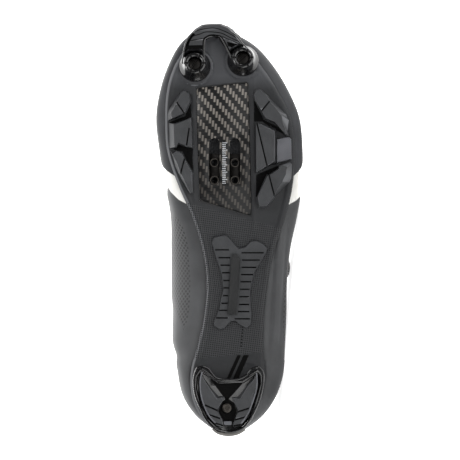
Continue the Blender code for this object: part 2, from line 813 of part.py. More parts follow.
def sloped_prism(name, outline, low, high):
    points = plan_points(outline)
    centre = sum(points, Vector((0.0, 0.0))) / len(points)
    base, top = [], []
    for point, row in zip(points, outline):
        inward = (centre - point).normalized() * row[2] * ball_width
        z_low, z_high = low(point.x), high(point.x)
        beyond = cut_past / (z_high - z_low)
        grounded = point + inward
        below = grounded + inward * beyond
        above = point - inward * beyond
        base.append((below.x, below.y, z_low - cut_past))
        top.append((above.x, above.y, z_high + cut_past))
    return prism(name, base, top, part_collection)


def under_plate(x):
    return plate_bottom(x) - fit_gap


def make_lugs(tread_slab, platform_slab):
    for name, outline in lug_outlines.items():
        lug = sloped_prism(name, outline, ground, under_plate)
        boolean(lug, tread_slab, "INTERSECT")
        add_part(lug, "tread")
    platform = sloped_prism("tread_lateral_platform", platform_outline, ground, under_plate)
    boolean(platform, platform_slab, "INTERSECT")
    add_part(platform, "tread")


def make_carbon_plate(slot_cutters):
    def low(x):
        return plate_bottom(x) + window_recess

    points = inset_points(plan_points(window_outline), fit_gap)
    plate = straight_prism("carbon_plate", points, cut_low, cut_high, part_collection)
    boolean(plate, slab("carbon_slab", low, plate_top), "INTERSECT")
    for cutter in slot_cutters:
        boolean(plate, cutter, "DIFFERENCE")
    return add_part(plate, "carbon")


def slot_points(across):
    points = []
    radius = slot_width / 2
    for end, start_angle in ((1, -pi / 2), (-1, pi / 2)):
        centre = Vector((cleat_along + end * (slot_length / 2 - radius), across))
        for i in range(slot_end_steps + 1):
            turn = start_angle + pi * i / slot_end_steps
            points.append(centre + Vector((cos(turn), sin(turn))) * radius)
    return points


def slot_rows():
    return [cleat_across - slot_spacing / 2, cleat_across + slot_spacing / 2]


def round_cutter(name, radius, depth, location, sides=hole_sides):
    mesh_data = bmesh.new()
    bmesh.ops.create_cone(mesh_data, cap_ends=True, segments=sides, radius1=radius, radius2=radius,
                          depth=depth)
    obj = hide_cutter(object_from_bmesh(name, mesh_data, cutter_collection))
    obj.location = location
    return obj


def join_shapes(name, shapes, collection):
    # Union of several closed shapes, read back as one mesh
    first = shapes[0]
    for other in shapes[1:]:
        boolean(first, other, "UNION")
    bpy.context.view_layer.update()
    graph = bpy.context.evaluated_depsgraph_get()
    mesh = bpy.data.meshes.new_from_object(first.evaluated_get(graph))
    obj = bpy.data.objects.new(name, mesh)
    obj.matrix_world = first.matrix_world
    for shape in shapes:
        bpy.data.objects.remove(shape, do_unlink=True)
    collection.objects.link(obj)
    mesh.name = name
    return obj


def make_nut_plate():
    half_length, half_width = nut_plate_length / 2, nut_plate_width / 2
    floor = max(plate_top(nut_plate_along + dx) for dx in (-half_length, 0.0, half_length)) + fit_gap
    corners = [Vector((nut_plate_along + sx * half_length, cleat_across + sy * half_width))
               for sx, sy in ((-1, -1), (1, -1), (1, 1), (-1, 1))]
    body = straight_prism("nut_body", corners, floor, floor + nut_plate_thickness)
    shapes = [body]
    for side, across in zip("ml", slot_rows()):
        for end in (-1, 1):
            x = nut_plate_along + end * nut_row_spacing / 2
            depth = boss_height + nut_plate_thickness
            middle = floor + nut_plate_thickness - depth / 2
            shapes.append(round_cutter("boss_" + side, boss_radius, depth - 0.0002, (x, across, middle)))
    plate = join_shapes("cleat_nut_plate", shapes, part_collection)
    for across in slot_rows():
        for end in (-1, 1):
            x = nut_plate_along + end * nut_row_spacing / 2
            hole = round_cutter("thread_hole", thread_radius, cut_high, (x, across, floor))
            boolean(plate, hole, "DIFFERENCE")
    return add_part(plate, "metal")


def turned(name, profile, steps, matrix, finish):
    # The profile runs down the outer side, from the axis at the top to the axis at the bottom
    mesh = bpy.data.meshes.new(name)
    count = len(profile)
    mesh.from_pydata([(radius, 0.0, height) for radius, height in profile],
                     [(i, i + 1) for i in range(count - 1)], [])
    obj = bpy.data.objects.new(name, mesh)
    part_collection.objects.link(obj)
    screw = obj.modifiers.new("screw", "SCREW")
    screw.axis = "Z"
    screw.angle = 2 * pi
    screw.steps = steps
    screw.render_steps = steps
    screw.use_merge_vertices = True
    screw.merge_threshold = 0.00001
    screw.use_smooth_shade = False
    obj.matrix_world = matrix
    return add_part(obj, finish, smooth=False)


def sole_slope(x):
    rise = plate_bottom(x + 0.005) - plate_bottom(x - 0.005)
    return Vector((0.01, 0.0, rise)).normalized()


def frame_at(origin, forward, normal):
    side = normal.cross(forward).normalized()
    forward = side.cross(normal).normalized()
    turn = Matrix((forward, side, normal)).transposed().to_4x4()
    return Matrix.Translation(origin) @ turn


def stud_frame(place):
    x, y = place[0] * shoe_length, place[1] * ball_width
    forward = sole_slope(x)
    normal = forward.cross(Vector((0.0, 1.0, 0.0))).normalized()
    if normal.z > 0:
        normal = -normal
    seat = Vector((x, y, plate_bottom(x))) + normal * 2 * fit_gap
    return frame_at(seat, forward, normal)


def make_studs():
    # Each stud boss is a hollow cone on the plate, with a slotted plug down in its hole
    chamfer = stud_chamfer
    for side, place in stud_places.items():
        base_frame = stud_frame(place)
        boss_profile = [
            (0.0, stud_height - stud_hole_depth),
            (stud_hole_radius, stud_height - stud_hole_depth),
            (stud_hole_radius, stud_height - chamfer),
            (stud_hole_radius + chamfer, stud_height),
            (stud_ring_radius - chamfer, stud_height),
            (stud_ring_radius, stud_height - chamfer),
            (stud_base_radius, 2 * chamfer),
            (stud_base_radius, 0.0),
            (0.0, 0.0),
        ]
        turned("stud_base_" + side, boss_profile, stud_sides, base_frame, "gloss")
        seat = stud_height - stud_hole_depth + fit_gap
        mesh_data = bmesh.new()
        bmesh.ops.create_cone(mesh_data, cap_ends=True, segments=plug_sides, radius1=plug_radius,
                              radius2=plug_radius - chamfer, depth=plug_height)
        bmesh.ops.translate(mesh_data, verts=mesh_data.verts, vec=(0.0, 0.0, seat + plug_height / 2))
        plug = object_from_bmesh("stud_plug_" + side, mesh_data, part_collection)
        plug.matrix_world = base_frame
        slot = bmesh.new()
        bmesh.ops.create_cube(slot, size=1.0)
        bmesh.ops.scale(slot, verts=slot.verts, vec=(plug_slot_width, 3 * plug_radius, 2 * plug_slot_depth))
        bmesh.ops.translate(slot, verts=slot.verts, vec=(0.0, 0.0, seat + plug_height))
        slot_cutter = hide_cutter(object_from_bmesh("plug_slot_" + side, slot, cutter_collection))
        slot_cutter.matrix_world = base_frame
        boolean(plug, slot_cutter, "DIFFERENCE")
        add_part(plug, "metal", smooth=False)


def make_toe_tread(tread_slab):
    # The lug under the plate and the wrap in front of it are joined, then the stud bosses cut it
    lug = sloped_prism("toe_lug", toe_tread_outline, ground, under_plate)
    boolean(lug, tread_slab, "INTERSECT")
    start = angle_of(toe_wrap_start)
    wrap_angles = [start + (pi - start) * i / wrap_steps for i in range(wrap_steps + 1)]
    wrap = toe_wrap(wrap_angles)
    tread = join_shapes("toe_tread", [lug, wrap], part_collection)
    for side, place in stud_places.items():
        frame = stud_frame(place)
        radius = stud_base_radius + fit_gap
        cutter = round_cutter("stud_clearance_" + side, radius, cut_high, (0.0, 0.0, 0.0), clearance_sides)
        cutter.matrix_world = frame
        boolean(tread, cutter, "DIFFERENCE")
    return add_part(tread, "tread")


def toe_wrap(angles):
    # Rows up the front: below the plate, beside it, then over the guard's own surface
    def wrap_point(angle, row, out):
        if row < 2:
            flat = ring_offset("plate", angle, out)
            height = plate_bottom(flat.x) - cut_past if row == 0 else plate_top(flat.x)
            if row == 1:
                flat = flat.lerp(upper_point(angle, wrap_rows[0], out).xy, 0.4)
            return Vector((flat.x, flat.y, height))
        return upper_point(angle, wrap_rows[row - 2], out)

    mesh_data = bmesh.new()
    signed = [-theta for theta in angles] + [theta for theta in reversed(angles)][1:]
    top = len(wrap_rows) + 1
    layers = []
    for out in (fit_gap, fit_gap + toe_wrap_wall):
        layers.append([[mesh_data.verts.new(wrap_point(angle, row, out)) for row in range(top + 1)]
                       for angle in signed])
    inner, outer = layers
    last = len(signed) - 1
    for i in range(last):
        for j in range(top):
            mesh_data.faces.new((outer[i][j], outer[i + 1][j], outer[i + 1][j + 1], outer[i][j + 1]))
            mesh_data.faces.new((inner[i][j], inner[i][j + 1], inner[i + 1][j + 1], inner[i + 1][j]))
        for j in (0, top):
            mesh_data.faces.new((outer[i][j], outer[i + 1][j], inner[i + 1][j], inner[i][j]))
    for i in (0, last):
        for j in range(top):
            mesh_data.faces.new((outer[i][j], outer[i][j + 1], inner[i][j + 1], inner[i][j]))
    return object_from_bmesh("toe_wrap", mesh_data, part_collection)


def make_arch_pad():
    def low(x):
        return plate_bottom(x) - fit_gap - pad_height

    pad = sloped_prism("arch_pad", arch_pad_outline, low, under_plate)
    boolean(pad, slab("pad_slab", low, under_plate), "INTERSECT")
    strip = straight_prism("pad_strip", plan_points(pad_strip_outline), 0.0, cut_high)

    def strip_floor(x):
        return low(x) + pad_strip_depth

    boolean(strip, slab("strip_slab", lambda x: 0.0, strip_floor), "INTERSECT")
    boolean(pad, strip, "DIFFERENCE")
    return add_part(pad, "tread")


def make_heel(tread_slab):
    outline = plan_points(heel_frame_outline)
    frame = straight_prism("heel_frame", outline, 0.0, cut_high, part_collection)
    rim_slab = slab("heel_slab", lambda x: max(heel_rim_height, ground(x) + heel_rim_above), under_plate)
    boolean(frame, rim_slab, "INTERSECT")
    pocket = straight_prism("heel_pocket", plan_points(heel_pocket_outline), cut_low, heel_floor)
    boolean(frame, pocket, "DIFFERENCE")
    add_part(frame, "gloss")
    pad_slab = slab("heel_pad_slab", ground, lambda x: heel_floor - fit_gap, heel_slab_reach)
    for name, pad_outline in heel_pad_outlines.items():
        pad = sloped_prism(name, pad_outline, ground, lambda x: heel_floor - fit_gap)
        boolean(pad, pad_slab, "INTERSECT")
        add_part(pad, "tread")
    place = Vector((heel_screw_place[0] * shoe_length, heel_screw_place[1] * ball_width,
                    heel_floor - fit_gap))
    profile = [
        (0.0, 0.4 * heel_screw_head), (0.45 * heel_screw_radius, 0.4 * heel_screw_head),
        (0.45 * heel_screw_radius, heel_screw_head), (0.75 * heel_screw_radius, heel_screw_head),
        (heel_screw_radius, 0.6 * heel_screw_head), (heel_screw_radius, 0.0), (0.0, 0.0),
    ]
    down = frame_at(place, Vector((1.0, 0.0, 0.0)), Vector((0.0, 0.0, -1.0)))
    turned("heel_screw", profile, screw_sides, down, "metal")


# Dial, guides and lace on the upper's outer surface

def surface_frame(angle, row, out):
    origin = upper_point(angle, row, out)
    along = upper_point(angle + small_step, row, out) - upper_point(angle - small_step, row, out)
    up = upper_point(angle, min(row + small_step, 2.0), out) - upper_point(angle, row - small_step, out)
    normal = along.cross(up).normalized()
    if normal.dot(origin - Vector((origin.x, 0.0, plate_top(origin.x)))) < 0:
        normal = -normal
    return origin, along.normalized(), normal


def make_dial(upper_tree):
    angle = throat_angle(dial_along)
    origin, forward, normal = surface_frame(angle, dial_row, 0.0)
    matrix = frame_at(origin, forward, normal)
    sides, chamfer = dial_sides, dial_chamfer
    lift = 0.0
    mesh_data = bmesh.new()
    rings = []
    for radius in (0.0, 0.5 * dial_base_radius, dial_base_radius):
        ring = []
        for i in range(sides if radius else 1):
            turn = 2 * pi * i / sides
            top = matrix @ Vector((radius * cos(turn), radius * sin(turn), dial_base_radius))
            hit = upper_tree.ray_cast(top, -normal)[0]
            height = (hit - origin).dot(normal) + fit_gap
            lift = max(lift, height)
            ring.append(mesh_data.verts.new((radius * cos(turn), radius * sin(turn), height)))
        rings.append(ring)
    face_height = lift + dial_base_height
    for radius, height in ((dial_base_radius, face_height - chamfer),
                           (dial_base_radius - chamfer, face_height), (0.0, face_height)):
        rings.append([mesh_data.verts.new((radius * cos(2 * pi * i / sides),
                                           radius * sin(2 * pi * i / sides), height))
                      for i in range(sides if radius else 1)])
    for low, high in zip(rings, rings[1:]):
        for i in range(sides):
            j = (i + 1) % sides
            corners = [low[i % len(low)], low[j % len(low)], high[j % len(high)], high[i % len(high)]]
            mesh_data.faces.new(list(dict.fromkeys(corners)))
    base = object_from_bmesh("dial_base", mesh_data, part_collection)
    base.matrix_world = matrix
    add_part(base, "gloss")
    seat = face_height + fit_gap
    profile = [
        (0.0, seat + dial_knob_height), (0.78 * dial_knob_radius, seat + dial_knob_height),
        (0.93 * dial_knob_radius, seat + 0.88 * dial_knob_height),
        (dial_knob_radius, seat + 0.62 * dial_knob_height),
        (dial_knob_radius, seat + 0.10 * dial_knob_height),
        (0.96 * dial_knob_radius, seat), (0.0, seat),
    ]
    turned("dial_knob", profile, dial_sides, matrix, "gloss")
    return matrix, face_height


def guide_frame(name):
    side = -1 if name.startswith("medial") else 1
    angle = side * throat_angle(guide_along[name])
    ridge = ridge_point(abs(angle))
    row = row_at_half_width(angle, throat_half_width(ridge.x) + guide_back + guide_width / 2)
    origin, forward, normal = surface_frame(angle, row, guide_lift)
    matrix = frame_at(origin, forward, normal)
    toward = matrix.to_3x3() @ Vector((0.0, 1.0, 0.0))
    if toward.dot(ridge - origin) < 0:
        matrix = frame_at(origin, -forward, normal)
    return matrix


def make_guides():
    # Each guide is a block with a slot for the lace, open towards the throat
    height = 2 * guide_roof + guide_slot
    half = guide_width / 2
    end = half - guide_slot_depth
    profile = [(-half, 0.0), (end, 0.0), (half, 0.0), (half, guide_roof), (end, guide_roof),
               (end, guide_roof + guide_slot), (half, guide_roof + guide_slot),
               (half - guide_bevel, height), (end, height), (guide_bevel - half, height),
               (-half, height - guide_bevel)]
    cap_corners = ((1, 2, 3, 4), (5, 6, 7, 8), (0, 1, 4, 10), (10, 4, 5, 9), (9, 5, 8))
    for name in guide_along:
        mesh_data = bmesh.new()
        ends = []
        for x in (-guide_length / 2, guide_length / 2):
            ends.append([mesh_data.verts.new((x, y, z)) for y, z in profile])
        for k in range(len(profile)):
            after = (k + 1) % len(profile)
            mesh_data.faces.new((ends[0][k], ends[0][after], ends[1][after], ends[1][k]))
        for corners in cap_corners:
            for ring in ends:
                mesh_data.faces.new([ring[k] for k in corners])
        guide = object_from_bmesh("lace_guide_" + name, mesh_data, part_collection)
        guide.matrix_world = guide_frame(name)
        add_part(guide, "gloss", smooth=False)


def lace_span(start, end, over):
    # Over the tongue between two points given by angle and signed half width from the ridge
    points = []
    for i in range(1, lace_steps):
        t = i / lace_steps
        theta = start[0] + (end[0] - start[0]) * t
        width = start[1] + (end[1] - start[1]) * t
        ridge = ridge_point(theta)
        side = -1 if width < 0 else 1
        row = row_at_half_width(side * theta, max(abs(width), 0.0002))
        edge = throat_half_width(ridge.x)
        middle = 1 - ease(abs(width), 0.25 * edge, 0.95 * edge)
        low = lace_above_tongue - wall - tongue_gap + (lace_over if over else 0.0)
        height = lace_above_upper * (1 - middle) + low * middle
        points.append(upper_point(side * theta, row, height))
    return points


def make_lace(dial_matrix, dial_height):
    def at_guide(name, along, across):
        matrix = guide_frame(name)
        flip = 1 if (matrix.to_3x3() @ Vector((1.0, 0.0, 0.0))).x > 0 else -1
        return matrix @ Vector((flip * along, across, guide_roof + guide_slot / 2))

    def in_guide(name, forward_first):
        ends = (1, -1) if forward_first else (-1, 1)
        mouth, deep = guide_width / 2 + 0.0012, guide_width / 2 - guide_slot_depth + lace_radius + 0.0012
        reach = guide_length / 2 - 0.0018
        result = [at_guide(name, ends[0] * reach, mouth), at_guide(name, ends[0] * 0.8 * reach, deep + 0.0016)]
        result += [at_guide(name, ends[0] * 0.45 * reach, deep), at_guide(name, ends[1] * 0.45 * reach, deep)]
        result += [at_guide(name, ends[1] * 0.8 * reach, deep + 0.0016), at_guide(name, ends[1] * reach, mouth)]
        return result

    def spot(name, forward):
        side = -1 if name.startswith("medial") else 1
        theta = throat_angle(guide_along[name], lace_turn if forward else -lace_turn)
        half = throat_half_width(ridge_point(theta).x) + guide_back - 0.0012
        return (theta, side * half)

    def dial_spot(shift):
        theta = throat_angle(dial_along, shift)
        return (theta, throat_half_width(ridge_point(theta).x) + lace_anchor)

    points = dial_exit(dial_matrix, dial_height, -lace_exit)
    points += lace_span(dial_spot(-lace_spread), spot("medial_1", False), True)
    points += in_guide("medial_1", False)
    points += lace_span(spot("medial_1", True), spot("lateral_2", False), False)
    points += in_guide("lateral_2", False)
    points += lace_span(spot("lateral_2", True), spot("medial_3", False), False)
    points += in_guide("medial_3", False)
    points += lace_span(spot("medial_3", True), spot("lateral_3", True), False)
    points += in_guide("lateral_3", True)
    points += lace_span(spot("lateral_3", False), spot("medial_2", True), True)
    points += in_guide("medial_2", True)
    points += lace_span(spot("medial_2", False), dial_spot(lace_spread), True)
    points += reversed(dial_exit(dial_matrix, dial_height, lace_exit))
    curve = bpy.data.curves.new("lace", "CURVE")
    curve.dimensions = "3D"
    curve.bevel_depth = lace_radius
    curve.bevel_resolution = 1
    curve.use_fill_caps = True
    spline = curve.splines.new("POLY")
    spline.points.add(len(points) - 1)
    for place, point in zip(spline.points, points):
        place.co = (*point, 1.0)
    obj = bpy.data.objects.new("lace", curve)
    part_collection.objects.link(obj)
    return add_part(obj, "lace")


def dial_exit(matrix, height, shift):
    # Two points outside the dial's base, on the side towards the throat
    toward = 1 if (matrix.to_3x3() @ Vector((0.0, 1.0, 0.0))).z > 0 else -1
    flip = 1 if (matrix.to_3x3() @ Vector((1.0, 0.0, 0.0))).x > 0 else -1
    reach = sqrt(dial_base_radius**2 - shift**2) + fit_gap
    level = height - 0.0010
    return [matrix @ Vector((flip * shift, toward * (reach + step), level)) for step in (0.0, 0.0012)]


# The shoe lies on its outer side: the hull face under its centre of mass is turned to the floor

def solid_of(obj, graph):
    mesh_data = bmesh.new()
    evaluated = obj.evaluated_get(graph)
    mesh = evaluated.to_mesh()
    mesh_data.from_mesh(mesh)
    evaluated.to_mesh_clear()
    bmesh.ops.remove_doubles(mesh_data, verts=mesh_data.verts, dist=0.000001)
    bmesh.ops.transform(mesh_data, matrix=obj.matrix_world, verts=mesh_data.verts)
    bmesh.ops.triangulate(mesh_data, faces=mesh_data.faces)
    return mesh_data


def lay_on_side():
    bpy.context.view_layer.update()
    graph = bpy.context.evaluated_depsgraph_get()
    moment, total = Vector((0.0, 0.0, 0.0)), 0.0
    hull = bmesh.new()
    for obj in parts:
        solid = solid_of(obj, graph)
        density = obj.data.materials[0]["density"]
        for face in solid.faces:
            a, b, c = (vert.co for vert in face.verts)
            mass = density * a.dot(b.cross(c)) / 6
            moment += mass * (a + b + c) / 4
            total += mass
        for vert in solid.verts:
            hull.verts.new(vert.co)
        solid.free()
    balance = moment / total
    result = bmesh.ops.convex_hull(hull, input=hull.verts)
    faces = [item for item in result["geom"] if isinstance(item, bmesh.types.BMFace)]
    middle = sum((face.calc_center_median() for face in faces), Vector()) / len(faces)
    floor_normal = None
    for face in faces:
        normal = face.normal.copy()
        if normal.dot(face.calc_center_median() - middle) < 0:
            normal = -normal
        if normal.y < 0.9:
            continue
        drop = normal.dot(face.verts[0].co - balance)
        foot = balance + normal * drop
        corners = [vert.co for vert in face.verts]
        signs = [(corners[(i + 1) % 3] - corners[i]).cross(foot - corners[i]).dot(normal) for i in range(3)]
        if min(signs) >= 0 or max(signs) <= 0:
            floor_normal = normal
    hull.free()
    toe = Vector((1.0, 0.0, 0.0))
    toe = (toe - floor_normal * toe.dot(floor_normal)).normalized()
    turn = Matrix((toe, -floor_normal.cross(toe), -floor_normal)).to_4x4()
    low = Vector((1.0, 1.0, 1.0))
    high = -low
    for obj in parts:
        solid = solid_of(obj, graph)
        for vert in solid.verts:
            place = turn @ vert.co
            low = Vector(map(min, low, place))
            high = Vector(map(max, high, place))
        solid.free()
    shift = Vector((-(low.x + high.x) / 2, -(low.y + high.y) / 2, -low.z))
    rest = bpy.data.objects.new("shoe_frame", None)
    part_collection.objects.link(rest)
    for obj in parts:
        obj.parent = rest
    for cutter in cutter_collection.objects:
        cutter.parent = rest
    rest.matrix_world = Matrix.Translation(shift) @ turn
    return rest


def build():
    window = straight_prism("window", plan_points(window_outline), cut_low, cut_high)
    slots = [straight_prism("slot", slot_points(across), cut_low, cut_high) for across in slot_rows()]
    tread_slab = slab("tread_slab", ground, under_plate)
    platform_slab = slab("platform_slab", lambda x: under_plate(x) - platform_height, under_plate)
    upper = make_upper()
    make_toe_guard()
    make_tongue()
    make_insole()
    make_outsole(window)
    make_carbon_plate(slots)
    make_nut_plate()
    make_lugs(tread_slab, platform_slab)
    make_toe_tread(tread_slab)
    make_studs()
    make_arch_pad()
    make_heel(tread_slab)
    bpy.context.view_layer.update()
    upper_tree = BVHTree.FromObject(upper, bpy.context.evaluated_depsgraph_get())
    dial_matrix, dial_height = make_dial(upper_tree)
    make_guides()
    make_lace(dial_matrix, dial_height)
    lay_on_side()


build()
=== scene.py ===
import json
from functools import lru_cache
from math import acos, asin, atan2, cos, exp, pi, sin, sqrt
import bmesh
import bpy
from mathutils import Matrix, Vector


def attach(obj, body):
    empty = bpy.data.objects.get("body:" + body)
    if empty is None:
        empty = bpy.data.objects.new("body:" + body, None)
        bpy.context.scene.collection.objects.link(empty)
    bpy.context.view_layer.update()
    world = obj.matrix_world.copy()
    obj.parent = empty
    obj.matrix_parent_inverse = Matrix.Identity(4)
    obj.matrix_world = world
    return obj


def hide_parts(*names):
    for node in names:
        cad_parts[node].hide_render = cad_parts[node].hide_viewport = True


# Looks of a left off-road cycling shoe that lies on its outer side, seen square to its sole.
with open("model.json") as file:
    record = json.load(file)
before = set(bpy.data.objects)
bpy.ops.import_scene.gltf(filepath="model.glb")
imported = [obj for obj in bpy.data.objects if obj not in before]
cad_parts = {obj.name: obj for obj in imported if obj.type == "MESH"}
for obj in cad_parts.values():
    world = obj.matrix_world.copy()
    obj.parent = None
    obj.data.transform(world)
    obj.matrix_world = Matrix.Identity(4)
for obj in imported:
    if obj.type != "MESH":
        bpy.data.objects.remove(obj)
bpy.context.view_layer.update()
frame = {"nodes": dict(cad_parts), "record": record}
print("stage 1: frame loaded")

# The shoe's own frame, in which everything is drawn: x heel to toe, y outwards, z up from the tread.
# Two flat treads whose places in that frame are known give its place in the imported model.
treadSpots = {"heel_tread": (0.026, -0.0135), "forefoot_tread": (0.192, 0.025)}
mounts = {mount["name"]: mount for mount in frame["record"]["mounts"]}
heelSpot = Vector(mounts["heel_tread"]["pos_m"])
ballSpot = Vector(mounts["forefoot_tread"]["pos_m"])
shoeUp = -Vector(mounts["forefoot_tread"]["axis"]).normalized()
spotRun = ballSpot - heelSpot
spotRun = (spotRun - shoeUp * spotRun.dot(shoeUp)).normalized()
spotTurn = atan2(treadSpots["forefoot_tread"][1] - treadSpots["heel_tread"][1],
                 treadSpots["forefoot_tread"][0] - treadSpots["heel_tread"][0])
shoeToe = spotRun * cos(spotTurn) - shoeUp.cross(spotRun) * sin(spotTurn)
shoeOut = shoeUp.cross(shoeToe)
shoeOrigin = heelSpot - shoeToe * treadSpots["heel_tread"][0] - shoeOut * treadSpots["heel_tread"][1]
shoeToWorld = Matrix((shoeToe, shoeOut, shoeUp)).transposed().to_4x4()
shoeToWorld.translation = shoeOrigin
worldToShoe = shoeToWorld.inverted()

# The last and the sole: the same named sizes and tables as the solids have, in metres and shares
last = {
    "length": 0.2800, "ballWidth": 0.1000, "instepHeight": 0.0770, "collarHeight": 0.0810,
    "sideRise": 0.0270, "gap": 0.0003, "wall": 0.0020, "collarPadding": 0.0035,
    "lastingMargin": 0.0080, "heelUndercut": 0.0030, "toeUndercut": 0.0035, "heelLean": 0.0200,
    "toeCapDepth": 0.0225, "toeWrap": 0.0019, "throatFront": 0.1760, "throatTop": 0.1080,
    "throatFrontHalf": 0.0080, "throatTopHalf": 0.0240, "guardWall": 0.0016, "guardGap": 0.0008,
    "plate": 0.0035, "plateHeel": 0.0010, "plateToeInset": 0.0025, "archRise": 0.0195,
    "featherInset": 0.0010, "springStart": 0.20804, "toeSpring": 0.0125, "heelBevel": 0.0030,
    "heelBevelLength": 0.0100,
}
upperLength = last["length"] - last["toeWrap"] - last["gap"]
lastTable = [
    # station, sole in, sole out, side in, side out, rise in, rise out, ridge height, across, fullness
    (0.000, 0.000, 0.000, 0.000, 0.000, 0.52, 0.34, 1.600, 0.000, 1.20),
    (0.020, -0.146, 0.127, -0.146, 0.137, 0.52, 0.34, 1.595, 0.000, 1.20),
    (0.050, -0.212, 0.172, -0.242, 0.236, 0.52, 0.32, 1.590, 0.000, 1.22),
    (0.100, -0.262, 0.225, -0.324, 0.324, 0.52, 0.30, 1.570, 0.000, 1.27),
    (0.160, -0.264, 0.242, -0.358, 0.371, 0.54, 0.28, 1.520, -0.002, 1.32),
    (0.220, -0.220, 0.233, -0.386, 0.382, 0.66, 0.28, 1.420, -0.006, 1.35),
    (0.300, -0.174, 0.240, -0.399, 0.393, 0.88, 0.32, 1.195, -0.015, 1.28),
    (0.380, -0.160, 0.267, -0.405, 0.398, 0.97, 0.36, 1.000, -0.022, 1.12),
    (0.460, -0.189, 0.312, -0.405, 0.421, 0.90, 0.36, 0.857, -0.030, 1.02),
    (0.540, -0.257, 0.384, -0.408, 0.466, 0.70, 0.30, 0.760, -0.036, 0.95),
    (0.620, -0.352, 0.432, -0.447, 0.497, 0.48, 0.25, 0.708, -0.043, 0.90),
    (0.700, -0.424, 0.445, -0.482, 0.501, 0.33, 0.24, 0.662, -0.050, 0.86),
    (0.780, -0.441, 0.424, -0.504, 0.480, 0.27, 0.24, 0.591, -0.060, 0.83),
    (0.860, -0.426, 0.320, -0.470, 0.388, 0.27, 0.27, 0.519, -0.070, 0.80),
    (0.920, -0.374, 0.210, -0.412, 0.282, 0.29, 0.29, 0.468, -0.082, 0.80),
    (0.960, -0.305, 0.116, -0.352, 0.180, 0.30, 0.30, 0.416, -0.094, 0.80),
    (0.985, -0.255, 0.036, -0.282, 0.070, 0.30, 0.30, 0.380, -0.104, 0.80),
    (1.000, -0.110, -0.110, -0.110, -0.110, 0.30, 0.30, 0.350, -0.110, 0.80),
]
plateTable = [
    (-0.02, 0.76), (0.00, 0.74), (0.08, 0.67), (0.16, 0.66), (0.24, 0.78), (0.33, 0.95),
    (0.42, 1.00), (0.52, 0.80), (0.60, 0.50), (0.66, 0.39), (0.74, 0.38), (0.84, 0.50),
    (0.92, 0.73), (1.00, 1.00), (1.03, 1.12),
]
collarTable = [
    (0.00, 1.000), (0.02, 1.000), (0.05, 0.965), (0.10, 0.870), (0.16, 0.755), (0.22, 0.690),
    (0.30, 0.735), (0.34, 0.820), (0.38, 0.980), (0.45, 1.300), (1.00, 1.300),
]
guardTable = [
    (0.640, 0.06), (0.652, 0.52), (0.668, 0.93), (0.700, 1.12), (0.750, 1.22), (0.820, 1.34),
    (0.880, 1.44), (0.940, 1.52), (1.000, 1.58),
]
rimTable = [
    # inset, height share: a soft bead along the lower edge, then the side with its step
    (0.0046, 0.000), (0.0040, -0.050), (0.0030, -0.120), (0.0020, -0.090), (0.0012, 0.050),
    (0.0006, 0.200), (0.0004, 0.340), (0.0004, 0.560), (0.0001, 0.640), (0.0000, 0.720),
    (0.0000, 0.920), (0.0004, 1.000),
]


def curveThrough(knots, values):
    count = len(knots)
    steps = [knots[i + 1] - knots[i] for i in range(count - 1)]
    grades = [(values[i + 1] - values[i]) / steps[i] for i in range(count - 1)]
    slopes = [grades[0]]
    for i in range(1, count - 1):
        slopes.append((grades[i - 1] * steps[i] + grades[i] * steps[i - 1]) / (steps[i - 1] + steps[i]))
    slopes.append(grades[-1])

    def valueAt(x):
        x = min(max(x, knots[0]), knots[-1])
        i = 0
        while i < count - 2 and x > knots[i + 1]:
            i += 1
        span = steps[i]
        t = (x - knots[i]) / span
        rise = values[i] * (2 * t**3 - 3 * t**2 + 1) + values[i + 1] * (3 * t**2 - 2 * t**3)
        return rise + span * (slopes[i] * (t**3 - 2 * t**2 + t) + slopes[i + 1] * (t**3 - t**2))

    return valueAt


def angleOf(station):
    return acos(1 - 2 * min(max(station, 0.0), 1.0))


def stationOf(angle):
    return (1 - cos(angle)) / 2


def stationColumn(table, column):
    return curveThrough([angleOf(row[0]) for row in table], [row[column] for row in table])


def ease(value, low, high):
    t = min(max((value - low) / (high - low), 0.0), 1.0)
    return t * t * (3 - 2 * t)


soleAcross = {-1: stationColumn(lastTable, 1), 1: stationColumn(lastTable, 2)}
sideAcross = {-1: stationColumn(lastTable, 3), 1: stationColumn(lastTable, 4)}
sideHeight = {-1: stationColumn(lastTable, 5), 1: stationColumn(lastTable, 6)}
ridgeHeight = stationColumn(lastTable, 7)
ridgeAcross = stationColumn(lastTable, 8)
fullness = stationColumn(lastTable, 9)
collarLine = stationColumn(collarTable, 1)
guardEdge = stationColumn(guardTable, 1)
plateHeight = curveThrough([row[0] for row in plateTable], [row[1] for row in plateTable])


def plateBottom(x):
    return last["archRise"] * plateHeight(x / last["length"])


def plateTop(x):
    return plateBottom(x) + last["plate"]


def ground(x):
    spring = max(0.0, (x - last["springStart"]) / (last["length"] - last["springStart"]))
    bevel = max(0.0, 1 - x / last["heelBevelLength"])
    return last["toeSpring"] * spring**2 + last["heelBevel"] * bevel**2


ringEnds = {
    "plate": (last["plateHeel"], upperLength - last["plateToeInset"]),
    "feather": (last["heelUndercut"], upperLength - last["toeUndercut"]),
    "side": (0.0, upperLength),
}
ridgeEnds = (last["heelLean"], upperLength - last["toeCapDepth"])
smallStep = 0.01


def ringPoint(ring, angle):
    angle = angle - 2 * pi if angle > pi else angle + 2 * pi if angle < -pi else angle
    side = 1 if angle >= 0 else -1
    theta = abs(angle)
    heel, toe = ringEnds[ring]
    across = sideAcross if ring == "side" else soleAcross
    return Vector((heel + (toe - heel) * stationOf(theta), last["ballWidth"] * across[side](theta)))


@lru_cache(maxsize=None)
def ringFrame(ring, angle):
    along = ringPoint(ring, angle + smallStep) - ringPoint(ring, angle - smallStep)
    return ringPoint(ring, angle), Vector((-along.y, along.x)).normalized()


